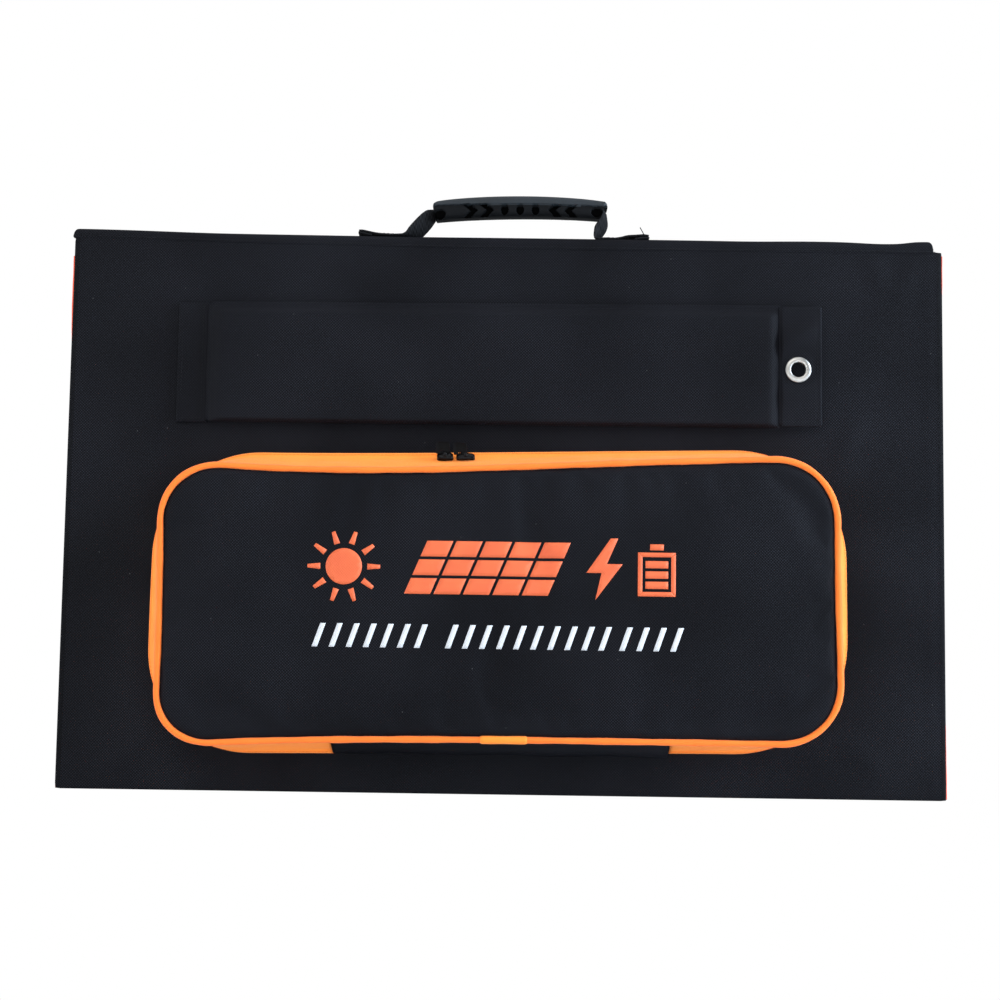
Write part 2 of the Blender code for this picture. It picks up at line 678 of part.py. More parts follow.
rear_top = PANEL_HEIGHT - REAR_DROP
rear_spine_z = SPINE_Z - REAR_DROP
panel_2_back = FRONT_Y + PANEL_PITCH + PANEL_THICK
panel_3_back = FRONT_Y + 2 * PANEL_PITCH
fold_axis_y = (panel_2_back + panel_3_back) / 2
spine_middle_y = (FRONT_Y + panel_2_back) / 2

front_spine_axes = ((FRONT_Y + SPINE_EDGE, SPINE_Z), (panel_2_back - SPINE_EDGE, SPINE_Z))
rear_spine_axes = ((panel_3_back + SPINE_EDGE, rear_spine_z), (REAR_Y - SPINE_EDGE, rear_spine_z))

root = pivot("front_panel", (0, 0, 0))
front_spine = pivot("front_spine_fold", (0, *front_spine_axes[0]), root)
panel_2 = pivot("second_panel_fold", (0, *front_spine_axes[1]), front_spine)
panel_3 = pivot("lower_fold", (0, fold_axis_y, FOLD_AXIS_Z), panel_2)
rear_spine = pivot("rear_spine_fold", (0, *rear_spine_axes[0]), panel_3)
panel_4 = pivot("rear_panel_fold", (0, *rear_spine_axes[1]), rear_spine)
swing = pivot("handle_swing", (0, spine_middle_y, SWING_AXIS_Z), front_spine)

panel("front", 0, 0.0, PANEL_HEIGHT, SPINE_Z, False, root)
panel("second", 1, INNER_BOTTOM, PANEL_HEIGHT, SPINE_Z, True, panel_2)
panel("third", 2, INNER_BOTTOM, rear_top, rear_spine_z, True, panel_3)
panel("rear", 3, REAR_BOTTOM, rear_top, rear_spine_z, False, panel_4)
spine_strip("front_spine_strip", *front_spine_axes, front_spine)
spine_strip("rear_spine_strip", *rear_spine_axes, rear_spine)

handle_foot("handle_foot_left", -0.1025, -0.066, 0.008, front_spine)
handle_foot("handle_foot_right", 0.0975, 0.070, 0.006, front_spine)
handle(swing)

leg("front_leg", FRONT_Y, -1, root)
leg("rear_leg", REAR_Y, 1, panel_4)

pouch_base(root)
pouch_lid(root)
slider("slider_left", SLIDER_LEFT_X, root)
slider("slider_right", SLIDER_RIGHT_X, root)
output_lead(root)
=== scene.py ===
"""The looks of a folding solar blanket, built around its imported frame.

The front face looks along -Y, +Z is up, and lengths are metres. Fabric is made as fine sheets
whose shape comes from small height functions: padding, hems, stitch furrows and soft creases.
"""

import math

import bmesh
import bpy
import numpy as np
from mathutils import Matrix, Vector, bvhtree, geometry


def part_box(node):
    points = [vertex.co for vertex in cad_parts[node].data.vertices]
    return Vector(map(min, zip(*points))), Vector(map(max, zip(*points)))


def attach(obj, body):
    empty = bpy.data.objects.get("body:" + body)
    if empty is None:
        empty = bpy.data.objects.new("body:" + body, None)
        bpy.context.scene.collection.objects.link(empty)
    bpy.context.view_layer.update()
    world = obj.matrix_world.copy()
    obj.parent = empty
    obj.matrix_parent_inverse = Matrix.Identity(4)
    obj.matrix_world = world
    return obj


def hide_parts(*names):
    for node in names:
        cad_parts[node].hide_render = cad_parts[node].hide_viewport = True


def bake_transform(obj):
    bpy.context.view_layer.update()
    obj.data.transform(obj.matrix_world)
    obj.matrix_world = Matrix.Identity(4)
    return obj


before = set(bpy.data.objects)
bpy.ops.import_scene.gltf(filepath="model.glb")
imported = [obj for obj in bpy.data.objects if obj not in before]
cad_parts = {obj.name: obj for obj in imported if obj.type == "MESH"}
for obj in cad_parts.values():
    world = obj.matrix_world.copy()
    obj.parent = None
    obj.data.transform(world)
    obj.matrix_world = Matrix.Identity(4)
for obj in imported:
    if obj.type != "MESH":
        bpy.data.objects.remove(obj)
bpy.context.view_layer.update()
MM = 0.001
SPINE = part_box("front_spine_strip")
FRONT_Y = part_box("front_cover")[0].y
SEAM_Z = 373 * MM
REAR_SEAM_Z = 368 * MM
SPINE_TOP = SPINE[1].z
OUT_FRONT = (0, -1, 0)


# ---------------------------------------------------------------- materials

def feed(socket, value):
    """Gives an input a plain value, or links it to another node's output."""
    if isinstance(value, bpy.types.NodeSocket):
        socket.id_data.links.new(value, socket)
    else:
        socket.default_value = value


def add_node(tree, kind, **values):
    """Adds a node. Each value is one of its properties or, with _ for a space, one of its inputs."""
    node = tree.nodes.new(kind)
    for key, value in values.items():
        if hasattr(node, key):
            setattr(node, key, value)
        else:
            feed(node.inputs[key.replace("_", " ")], value)
    return node


class Look:
    """A material being made, with the few kinds of node that the materials here are built from."""

    def __init__(self, name):
        self.material = bpy.data.materials.new(name)
        self.material.use_nodes = True
        self.tree = self.material.node_tree
        self.shader = self.tree.nodes["Principled BSDF"]
        self.place = self.tree.nodes.new("ShaderNodeTexCoord").outputs["Object"]
        split = add_node(self.tree, "ShaderNodeSeparateXYZ", Vector=self.place)
        self.x, self.y, self.z = split.outputs

    def math(self, operation, first, second=None, clamp=False):
        node = add_node(self.tree, "ShaderNodeMath", operation=operation, use_clamp=clamp)
        feed(node.inputs[0], first)
        if second is not None:
            feed(node.inputs[1], second)
        return node.outputs[0]

    def scaled(self, value, factor, shift, clamp=False):
        return self.math("ADD", self.math("MULTIPLY", value, factor), shift, clamp)

    def wave(self, operation, value, rate):
        return self.math(operation, self.math("MULTIPLY", value, rate))

    def weighted(self, first, first_share, second, second_share):
        return self.scaled(first, first_share, self.math("MULTIPLY", second, second_share))

    def noise(self, scale, detail, roughness=0.5, distortion=0.0):
        return add_node(self.tree, "ShaderNodeTexNoise", Vector=self.place, Scale=scale, Detail=detail,
                        Roughness=roughness, Distortion=distortion).outputs[0]

    def cells(self, scale, randomness):
        return add_node(self.tree, "ShaderNodeTexVoronoi", Vector=self.place, Scale=scale,
                        Randomness=randomness).outputs["Distance"]

    def weave(self, pitch, slant, across=None):
        """The knuckles of a diagonal weave: a lattice of bumps, each row half a pitch along from the last."""
        rate = 2 * math.pi / pitch
        along = self.wave("SINE", self.x, rate)
        cross = self.wave("COSINE", across or self.z, rate * slant)
        return self.math("MULTIPLY", self.math("ADD", self.math("MULTIPLY", along, cross), 1.0), 0.5)

    def mix(self, share, first, second):
        mix = add_node(self.tree, "ShaderNodeMix", data_type="RGBA", Factor=share, A=first, B=second)
        return mix.outputs["Result"]

    def ramp(self, value, low, high, dark, light):
        """Goes from one colour to another as a value goes from low to high."""
        spread = add_node(self.tree, "ShaderNodeMapRange", Value=value, From_Min=low, From_Max=high)
        return self.mix(spread.outputs[0], (*dark, 1), (*light, 1))

    def bump(self, height, strength, distance):
        bump = add_node(self.tree, "ShaderNodeBump", Strength=strength, Distance=distance, Height=height)
        feed(self.shader.inputs["Normal"], bump.outputs[0])

    def finish(self, **inputs):
        """Sets the shader's inputs, with _ for a space, and hands over the material."""
        for key, value in inputs.items():
            feed(self.shader.inputs[key.replace("_", " ")], value)
        return self.material


def coated_fabric(name, pitch=1.95 * MM, shade=1.0):
    """Black coated polyester: a fine twill under a satin coating, scuffed unevenly, with specks of lint. Its
    weave's knuckles carry a painted highlight, stronger in random patches.
    """
    look = Look(name)
    weave = look.weave(pitch, 1.0)
    grain = look.noise(900.0, 3.0, 0.7)
    # Painted highlight: in the random patches that shine picks, the weave's knuckles are coloured lighter, as
    # if light glanced off them; light is that highlight's colour.
    shine = look.scaled(look.noise(11.0, 2.0, 0.4), 2.4, -0.75, clamp=True)
    knuckle_glint = look.math("MULTIPLY", look.math("POWER", weave, 3.0), look.math("ADD", shine, 0.25))
    dark = [shade * c for c in (0.0024, 0.0026, 0.0040)]
    light = [shade * c for c in (0.0218, 0.0236, 0.0318)]
    speck = look.math("LESS_THAN", look.cells(55.0, 1.0), 0.022)
    colour = look.mix(speck, look.ramp(knuckle_glint, 0.0, 1.0, dark, light), (0.045, 0.047, 0.050, 1))
    scuffs = look.scaled(look.noise(9.0, 4.0, 0.6), 0.22, 0.40)
    rough = look.math("ADD", scuffs, look.math("MULTIPLY", grain, 0.10))
    look.bump(look.math("ADD", weave, look.math("MULTIPLY", grain, 0.35)), 0.8, 0.3 * MM)
    return look.finish(Base_Color=colour, Roughness=rough, Specular_IOR_Level=0.062)


def tape_fabric(name, dark, light, pitch):
    """Woven tape or piping: fine cross ribs, a slightly uneven dye and a soft sheen."""
    look = Look(name)
    rate = 2 * math.pi / pitch
    ribs = look.wave("SINE", look.math("ADD", look.x, look.z), rate)
    depth = look.wave("SINE", look.y, rate * 1.3)
    weave = look.scaled(look.math("MULTIPLY", ribs, depth), 0.5, 0.5)
    tone = look.weighted(weave, 0.35, look.noise(40.0, 3.0), 0.65)
    look.bump(weave, 0.5, 0.15 * MM)
    return look.finish(Base_Color=look.ramp(tone, 0.25, 0.75, dark, light), Roughness=0.62, Sheen_Weight=0.15,
                       Specular_IOR_Level=0.3)


def webbing_fabric(name):
    """Black webbing: fine lengthwise ribs crossed by a herringbone."""
    look = Look(name)
    weave = look.weave(2.1 * MM, 0.45)
    both = look.math("MULTIPLY", look.math("ADD", weave, look.weave(2.1 * MM, 0.45, look.y)), 0.5)
    look.bump(both, 0.9, 0.4 * MM)
    colour = look.ramp(both, 0.2, 0.8, (0.0030, 0.0032, 0.0038), (0.0120, 0.0125, 0.0145))
    return look.finish(Base_Color=colour, Roughness=0.78, Specular_IOR_Level=0.12)


def moulded(name, dark, light, rough, grain_size, bump=0.3, shine=0.35):
    """Moulded or enamelled surface with a fine spark texture and uneven shine."""
    look = Look(name)
    cloud = look.noise(30.0, 3.0)
    look.bump(look.noise(1 / grain_size, 3.0, 0.65), bump, 0.12 * MM)
    return look.finish(Base_Color=look.ramp(cloud, 0.3, 0.7, dark, light), Specular_IOR_Level=shine,
                       Roughness=look.scaled(cloud, 0.16, rough - 0.08))


def nickel_plate(name):
    """Satin nickel with a few fine rub marks."""
    look = Look(name)
    rubs = look.noise(140.0, 3.0, distortion=1.0)
    colour = look.ramp(rubs, 0.3, 0.75, (0.40, 0.395, 0.375), (0.52, 0.51, 0.49))
    return look.finish(Base_Color=colour, Metallic=1.0, Roughness=look.scaled(rubs, 0.18, 0.28))


def solar_film(name):
    """The film over the cells: a dotted embossed polymer sheet over a black backing."""
    look = Look(name)
    look.bump(look.cells(600.0, 0.15), 0.5, 0.1 * MM)
    return look.finish(Base_Color=(0.008, 0.009, 0.012, 1), Roughness=0.32, Coat_Weight=0.4,
                       Coat_Roughness=0.25)


def cell_silicon(name):
    """Dark blue monocrystalline silicon with thin silver fingers."""
    look = Look(name)
    finger = look.math("GREATER_THAN", look.wave("SINE", look.x, 2 * math.pi / (1.6 * MM)), 0.96)
    blue = look.ramp(look.noise(14.0, 2.0), 0.3, 0.7, (0.004, 0.008, 0.030), (0.007, 0.014, 0.050))
    return look.finish(Base_Color=look.mix(finger, blue, (0.06, 0.07, 0.10, 1)), Roughness=0.22,
                       Coat_Weight=0.6, Coat_Roughness=0.2)


def print_ink(name, dark, light):
    """Screen-printed ink: matt, slightly uneven, and broken up by the weave under it."""
    look = Look(name)
    weave = look.weave(1.7 * MM, 0.9)
    tone = look.weighted(weave, 0.3, look.noise(60.0, 4.0), 0.7)
    look.bump(weave, 0.35, 0.2 * MM)
    return look.finish(Base_Color=look.ramp(tone, 0.2, 0.7, dark, light), Roughness=0.6)


FABRIC = coated_fabric("coated_fabric")
# Hem tape: the cover fabric at 0.62 of its brightness, partly the tape's own darker tone and partly painted
# shade for the sheen it lacks.
HEM_TAPE_SHADED = coated_fabric("hem_tape_shaded", pitch=1.3 * MM, shade=0.62)
ZIP_TAPE = tape_fabric("zip_tape", (0.97, 0.238, 0.016), (1.0, 0.298, 0.028), 0.9 * MM)
PIPING = tape_fabric("orange_piping", (0.92, 0.160, 0.011), (0.97, 0.208, 0.018), 0.8 * MM)
COIL = moulded("zip_coil", (0.88, 0.22, 0.03), (1.0, 0.30, 0.045), 0.4, 0.5 * MM, 0.1)
BINDING = tape_fabric("side_binding", (0.56, 0.048, 0.018), (0.74, 0.088, 0.028), 1.2 * MM)
WEBBING = webbing_fabric("handle_webbing")
GRIP_TOP = moulded("grip_cap", (0.0105, 0.0145, 0.0185), (0.0155, 0.0210, 0.0265),
                   0.48, 0.6 * MM, 0.15, shine=0.22)
GRIP_SIDE = moulded("grip_lower_half", (0.0040, 0.0045, 0.0053), (0.0062, 0.0069, 0.0080),
                    0.6, 0.6 * MM, shine=0.06)
# Painted shade: near black, for the shade that falls inside the grip's sunk pockets.
GRIP_POCKET_SHADE = moulded("grip_pocket_painted_shade", (0.0004, 0.0004, 0.0005), (0.0008, 0.0008, 0.0009),
                      0.8, 0.6 * MM, shine=0.02)
NICKEL = nickel_plate("nickel_plate")
ENAMEL = moulded("slider_enamel", (0.0015, 0.0015, 0.002), (0.003, 0.003, 0.004),
                 0.14, 1.5 * MM, 0.06, shine=0.12)
PULL = moulded("pull_rubber", (0.0012, 0.0012, 0.0015), (0.0024, 0.0024, 0.0028),
               0.5, 0.4 * MM, 0.4, shine=0.08)
PLASTIC = moulded("box_plastic", (0.014, 0.014, 0.015), (0.021, 0.021, 0.022), 0.45, 0.5 * MM, 0.35)
LEAD = moulded("lead_jacket", (0.010, 0.010, 0.011), (0.015, 0.015, 0.016), 0.5, 0.9 * MM, 0.2)
PILE = moulded("hook_and_loop", (0.008, 0.008, 0.009), (0.020, 0.020, 0.022), 0.9, 0.7 * MM, 1.0)
BOARD = moulded("stiffener_board", (0.22, 0.22, 0.21), (0.32, 0.32, 0.31), 0.8, 1.0 * MM)
FILM = solar_film("solar_film")
SILICON = cell_silicon("cell_silicon")
SOLDER = nickel_plate("cell_ribbon")
THREAD = moulded("sewing_thread", (0.004, 0.0045, 0.006), (0.011, 0.012, 0.015), 0.6, 0.3 * MM, shine=0.1)
THREAD_ORANGE = moulded("orange_thread", (0.80, 0.15, 0.02), (0.95, 0.24, 0.04), 0.6, 0.3 * MM)
INK_ORANGE = print_ink("print_orange", (0.60, 0.086, 0.024), (0.74, 0.136, 0.038))
INK_PALE = print_ink("print_pale", (0.50, 0.53, 0.57), (0.66, 0.69, 0.73))


# ---------------------------------------------------------------- mesh tools

def link(name, mesh, material, smooth=True):
    obj = bpy.data.objects.new(name, mesh)
    bpy.context.scene.collection.objects.link(obj)
    mesh.materials.append(material)
    if smooth:
        mesh.shade_smooth()
    return obj


def mesh_from(name, points, faces, material, smooth=True):
    mesh = bpy.data.meshes.new(name)
    mesh.from_pydata([tuple(p) for p in points], [], faces)
    mesh.validate()
    return link(name, mesh, material, smooth)


def grid_faces(rows, columns, wrap=False, first=0):
    """Quads of a grid of rows by columns points; wrap joins the last column to the first."""
    faces = []
    for r in range(rows - 1):
        for c in range(columns if wrap else columns - 1):
            d = (c + 1) % columns
            faces.append((first + r * columns + c, first + r * columns + d,
                          first + (r + 1) * columns + d, first + (r + 1) * columns + c))
    return faces


def tube_faces(rings, sides, first=0, closed=False):
    """Faces of a tube of rings, with its two ends capped or, if closed, joined to each other."""
    last = first + (rings - 1) * sides
    if closed:
        ends = [(last + s, last + (s + 1) % sides, first + (s + 1) % sides, first + s) for s in range(sides)]
    else:
        ends = [tuple(range(first + sides - 1, first - 1, -1)), tuple(range(last, last + sides))]
    return grid_faces(rings, sides, True, first) + ends


def sheet(name, points, material, thickness, facing=None):
    """Fabric with some thickness, from a grid of points. If facing is given, its face looks that way."""
    rows, columns = points.shape[:2]
    obj = outward_normals(mesh_from(name, points.reshape(-1, 3), grid_faces(rows, columns), material))
    if facing:
        face_towards(obj, facing)
    return thicken(obj, thickness)


def face_towards(obj, direction):
    """Turns a whole sheet over if it shows its back in a direction."""
    if sum(Vector(direction).dot(polygon.normal) for polygon in obj.data.polygons) < 0:
        obj.data.flip_normals()


def outward_normals(obj, close=False):
    """Makes the faces agree on which side is out. With close, one flat face first closes the open rim."""
    fix = bmesh.new()
    fix.from_mesh(obj.data)
    if close:
        bmesh.ops.edgeloop_fill(fix, edges=[edge for edge in fix.edges if len(edge.link_faces) == 1])
    bmesh.ops.recalc_face_normals(fix, faces=fix.faces)
    fix.to_mesh(obj.data)
    fix.free()
    return obj


def apply_modifiers(obj):
    """Replaces an object's mesh with its evaluated mesh, so that nothing is left on its stack."""
    graph = bpy.context.evaluated_depsgraph_get()
    graph.update()
    mesh = bpy.data.meshes.new_from_object(obj.evaluated_get(graph))
    obj.modifiers.clear()
    obj.data = mesh
    return obj


def thicken(obj, thickness):
    """Gives a sheet some thickness, behind the face that it shows."""
    solidify = obj.modifiers.new("Thickness", "SOLIDIFY")
    solidify.thickness = thickness
    solidify.offset = -1
    return apply_modifiers(obj)


def ease(value):
    """A smooth step from 0 to 1."""
    t = np.clip(value, 0, 1)
    return t * t * (3 - 2 * t)


def bump_line(distance, width):
    """A soft ridge of height 1 along distance 0."""
    return np.exp(-(distance / width) ** 2)


def wave_cloud(x, z, size, seed):
    """Cheap smooth noise for fine grids: a sum of crossed sines with unrelated directions."""
    total = 0
    for k in range(6):
        angle = 2.399 * (k + 1) + seed
        rate = 2 * math.pi / size * (0.6 + 0.23 * k)
        total = total + np.sin((x * math.cos(angle) + z * math.sin(angle)) * rate + seed * 3.1 * (k + 1))
    return total / 6


def creases(x, z, rows):
    """Soft folds, each along a line from (x, z) to (x, z) and fading out at both ends. Rows are in mm: the two
    ends, the width and the height."""
    total = 0
    for row in rows:
        ax, az, bx, bz, width, height = (value * MM for value in row)
        dx, dz = bx - ax, bz - az
        t = np.clip(((x - ax) * dx + (z - az) * dz) / (dx * dx + dz * dz), 0, 1)
        distance = np.hypot(x - ax - t * dx, z - az - t * dz)
        total = total + height * bump_line(distance, width) * np.sin(math.pi * t)
    return total


def spaced(start, end, step):
    count = max(2, int(round(abs(end - start) / step)) + 1)
    return np.linspace(start, end, count)


def distances(path):
    """How far along a path each of its points lies."""
    return np.concatenate([[0], np.cumsum(np.linalg.norm(np.diff(path, axis=0), axis=1))])


def interpolate(wanted, known, rows):
    """Reads a path of any number of coordinates at the wanted distances."""
    return np.stack([np.interp(wanted, known, column) for column in np.array(rows, float).T], -1)


def slab(name, xs, zs, face, loops, material, closed=True):
    """A rectangular sewn panel. face(x, z) gives the y of its main face. Each loop is (outset, y):
    a ring round the border, moved out by outset, at that y, so that the edge rolls over."""
    x, z = np.meshgrid(xs, zs)
    points = list(np.stack([x, face(x, z), z], -1).reshape(-1, 3))
    columns, rows = len(xs), len(zs)
    faces = grid_faces(rows, columns)
    ring = list(range(columns))
    ring += [r * columns + columns - 1 for r in range(1, rows)]
    ring += [(rows - 1) * columns + c for c in range(columns - 2, -1, -1)]
    ring += [r * columns for r in range(rows - 2, 0, -1)]
    border = np.array([points[i] for i in ring])
    outward = np.zeros((len(ring), 2))
    for axis, values in ((0, xs), (1, zs)):
        place = border[:, 2 * axis]
        outward[:, axis] = np.isclose(place, values[-1]) * 1.0 - np.isclose(place, values[0])
    outward[np.abs(outward).sum(1) > 1] *= 0.72
    previous = ring
    for outset, depth in loops:
        moved = np.insert(border[:, [0, 2]] + outward * outset, 1, depth, axis=1)
        current = list(range(len(points), len(points) + len(ring)))
        points += list(moved)
        for i in range(len(ring)):
            j = (i + 1) % len(ring)
            faces.append((previous[j], previous[i], current[i], current[j]))
        previous = current
    return outward_normals(mesh_from(name, points, faces, material), closed)


def stitches(name, lines, material, pitch=3.0 * MM, length=2.2 * MM, radius=0.28 * MM):
    """Rows of lock stitches, each a small spindle. A line is (points, the direction it stands proud in)."""
    points, faces = [], []
    profile = [(-0.5, 0.25), (-0.28, 0.95), (0.28, 0.95), (0.5, 0.25)]
    sides = 5
    for path, out in lines:
        path, out = np.array(path, float), np.array(out, float)
        reach = distances(path)
        for place in np.arange(pitch / 2, reach[-1], pitch):
            behind, middle, ahead = interpolate([place - 0.3 * MM, place, place + 0.3 * MM], reach, path)
            along = (ahead - behind) / np.linalg.norm(ahead - behind)
            side = np.cross(along, out)
            faces += tube_faces(len(profile), sides, len(points))
            for share, size in profile:
                for s in range(sides):
                    angle = 2 * math.pi * s / sides
                    ring = side * math.cos(angle) + out * math.sin(angle)
                    points.append(middle + along * share * length + ring * radius * size)
    return mesh_from(name, points, faces, material)


def cord(name, path, radius, material, closed=False, sides=12):
    """A round cord swept along a path, with a radius that may vary along it."""
    path = np.array(path, float)
    radii = np.broadcast_to(radius, len(path))[:, None, None]
    along = np.roll(path, -1, 0) - np.roll(path, 1, 0) if closed else np.gradient(path, axis=0)
    along /= np.linalg.norm(along, axis=1)[:, None]
    side = np.cross(along, (0, 1.0, 0))
    side[np.linalg.norm(side, axis=1) < 1e-3] = (1, 0, 0)
    side /= np.linalg.norm(side, axis=1)[:, None]
    other = np.cross(side, along)
    angles = np.linspace(0, 2 * math.pi, sides, endpoint=False)
    rings = [path[:, None] + (side[:, None] * np.cos(a) + other[:, None] * np.sin(a)) * radii for a in angles]
    points = np.concatenate(rings, 1).reshape(-1, 3)
    return mesh_from(name, points, tube_faces(len(path), sides, closed=closed), material)


def turned(name, profile, centre, material, steps=72):
    """A closed ring turned about an axis along Y, from (radius, y) points."""
    angles = np.linspace(0, 2 * math.pi, steps, endpoint=False)
    points = [(centre[0] + r * math.cos(a), y, centre[2] + r * math.sin(a))
              for a in angles for r, y in profile]
    return outward_normals(mesh_from(name, points, tube_faces(steps, len(profile), closed=True), material))


def place_on(obj, body, slot, *nodes):
    """Rides a finished piece on its body and hides the nodes that it stands for. slot is not used."""
    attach(obj, body)
    return describe(obj, slot, *nodes)


def describe(obj, slot, *nodes):
    if nodes:
        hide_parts(*nodes)
    return obj


def join(obj, slot, first_body, second_body, start, end, *nodes):
    """Keeps a soft piece where it lies, between two bodies, and hides the nodes it replaces. The two bodies,
    start and end are not used.
    """
    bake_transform(obj)
    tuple(start)
    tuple(end)
    return describe(obj, slot, *nodes)


def paint(node_name, material):
    """Gives its material to a node that keeps its own shape."""
    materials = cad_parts[node_name].data.materials
    materials.clear()
    materials.append(material)


def bowed_side(start, end, depth, peak, shares):
    """Points along a side that bows in to its left by depth, most of all at the share peak."""
    start, end = np.array(start), np.array(end)
    run = end - start
    inward = np.array([-run[1], run[0]]) / np.hypot(*run)
    bow = depth * np.sin(math.pi * shares ** (math.log(0.5) / math.log(peak)))
    return start + run * shares[:, None] + inward * bow[:, None]


def soft_outline(corners, bows, radii, step):
    """A closed outline in X and Z, anticlockwise from the middle of its bottom side. Corners run from the
    bottom left, each with its own rounding, and each side bows in by its (depth, peak)."""
    sides = []
    for i in range(4):
        start, end = corners[i], corners[(i + 1) % 4]
        length = math.dist(start, end)
        shares = np.linspace(radii[i] / length, 1 - radii[(i + 1) % 4] / length, 80)
        sides.append(bowed_side(start, end, *bows[i], shares))
    path = [sides[0][40:]]
    t = np.linspace(0, 1, 30)[1:-1, None]
    for i in range(4):
        before, after = sides[i], sides[(i + 1) % 4]
        reach = 0.56 * radii[(i + 1) % 4]
        leave = before[-1] + reach * unit(before[-1] - before[-2])
        arrive = after[0] - reach * unit(after[1] - after[0])
        path.append((1 - t) ** 3 * before[-1] + 3 * t * (1 - t) ** 2 * leave
                    + 3 * t ** 2 * (1 - t) * arrive + t ** 3 * after[0])
        path.append(after if i < 3 else after[:41])
    return resample(np.concatenate(path), step)[:-1]


def unit(vector):
    return vector / np.hypot(*vector)


def resample(path, step):
    """The same path with its points evenly spaced."""
    reach = distances(path)
    keep = np.concatenate([[True], np.diff(reach) > 1e-7])
    path, reach = path[keep], distances(path[keep])
    return interpolate(np.linspace(0, reach[-1], int(reach[-1] / step) + 1), reach, path)


def edge_distance(points, outline):
    """How far each point lies from a closed outline, taken as straight pieces between its points."""
    starts, ends = outline, np.roll(outline, -1, 0)
    run = ends - starts
    length = (run ** 2).sum(1)
    nearest = np.full(len(points), np.inf)
    for first in range(0, len(points), 2000):
        part = points[first:first + 2000, None]
        t = np.clip(((part - starts) * run).sum(2) / length, 0, 1)
        gap = part - starts - run * t[:, :, None]
        nearest[first:first + 2000] = np.sqrt((gap ** 2).sum(2).min(1))
    return nearest


def inside(points, outline):
    """Which points lie within a closed outline."""
    x, z = points[:, 0], points[:, 1]
    result = np.zeros(len(points), bool)
    previous = outline[-1]
    for corner in outline:
        crosses = (corner[1] > z) != (previous[1] > z)
        rise = previous[1] - corner[1]
        if rise:
            result ^= crosses & (x < corner[0] + (previous[0] - corner[0]) * (z - corner[1]) / rise)
        previous = corner
    return result


def filled_outline(outline, insets, step):
    """Triangles over the inside of an outline: rings that follow it near the edge, then an even grid."""
    following = np.roll(outline, -1, 0) - np.roll(outline, 1, 0)
    inward = np.stack([-following[:, 1], following[:, 0]], 1) / np.hypot(*following.T)[:, None]
    points = [outline] + [outline + inward * inset for inset in insets]
    low, high = outline.min(0), outline.max(0)
    xs, zs = np.meshgrid(np.arange(low[0], high[0], step), np.arange(low[1], high[1], step * 0.87))
    xs[1::2] += step / 2
    grid = np.stack([xs.ravel(), zs.ravel()], 1)
    grid = grid[inside(grid, outline)]
    margin = (insets[-1] if insets else 0) + step * 0.5
    if len(grid):
        grid = grid[edge_distance(grid, outline) > margin]
    points = np.concatenate(points + [grid])
    count = len(outline)
    edges = [(i, (i + 1) % count) for i in range(count)]
    vectors = [Vector(p) for p in points]
    verts, _, faces, *_ = geometry.delaunay_2d_cdt(vectors, edges, [list(range(count))], 1, 1e-6)
    return np.array([tuple(v) for v in verts]), faces


# ---------------------------------------------------------------- panels

PANELS = {"front": ("front_panel", 1), "second": ("second_panel", -1),
          "third": ("third_panel", 1), "rear": ("rear_panel", -1)}
HEM = 4.2 * MM  # the turned edge of a cover, from its side to its stitch line
EDGE = 1.3 * MM  # how far a cover rolls over past its flat face
FRONT_HALF = 299.0 * MM
FRONT_CREASES = [
    (-236, 214, -262, 250, 7, -0.8), (-228, 222, -238, 262, 6, 0.6), (224, 222, 246, 262, 7, -0.9),
    (230, 212, 268, 236, 6, 0.6), (-232, 40, -268, 10, 8, -0.8), (228, 40, 262, 12, 8, -0.9),
    (246, 372, 262, 344, 7, -0.9), (286, 370, 264, 340, 7, -0.8), (-200, 352, 120, 344, 10, -0.5),
    (225, 330, 290, 310, 9, 0.4), (-292, 180, -246, 150, 9, -0.5), (242, 120, 292, 160, 9, -0.5)]


def front_face(x, z):
    """Height of the front cover's outer face: slack waves, side hems, and creases round the pouch and leg."""
    side = FRONT_HALF - np.abs(x)
    slack = 0.35 * wave_cloud(x, z, 0.21, 1.7) + 0.10 * wave_cloud(x, z, 0.05, 4.1)
    hem = 0.28 * bump_line(side - HEM, 0.8 * MM) - 0.30 * ease((HEM - side) / (0.8 * MM))
    pucker = -0.35 * bump_line(side - 9 * MM, 4 * MM) * (0.5 + 0.5 * wave_cloud(x, z, 0.03, 2.2))
    return (slack + hem + pucker) * MM + creases(x, z, FRONT_CREASES)


def seam_lift(x):
    """The top seam isn't level: it climbs towards both ends, most of all the left one."""
    return MM * (0.4 + 3.5 * np.clip(-x / 0.298, 0, 1) ** 1.2 + 1.4 * np.clip(x / 0.298, 0, 1))


def spine_sway(x):
    """The spine's top rises at both ends and dips before the right one."""
    rise = 1.5 * ease((-0.19 - x) / 0.11) + 0.6 * ease((x - 0.16) / 0.05) + 1.0 * ease((x - 0.268) / 0.016)
    return MM * (rise - 0.5 * bump_line(x + 0.06, 0.13) - 1.0 * bump_line(x - 0.258, 0.02))


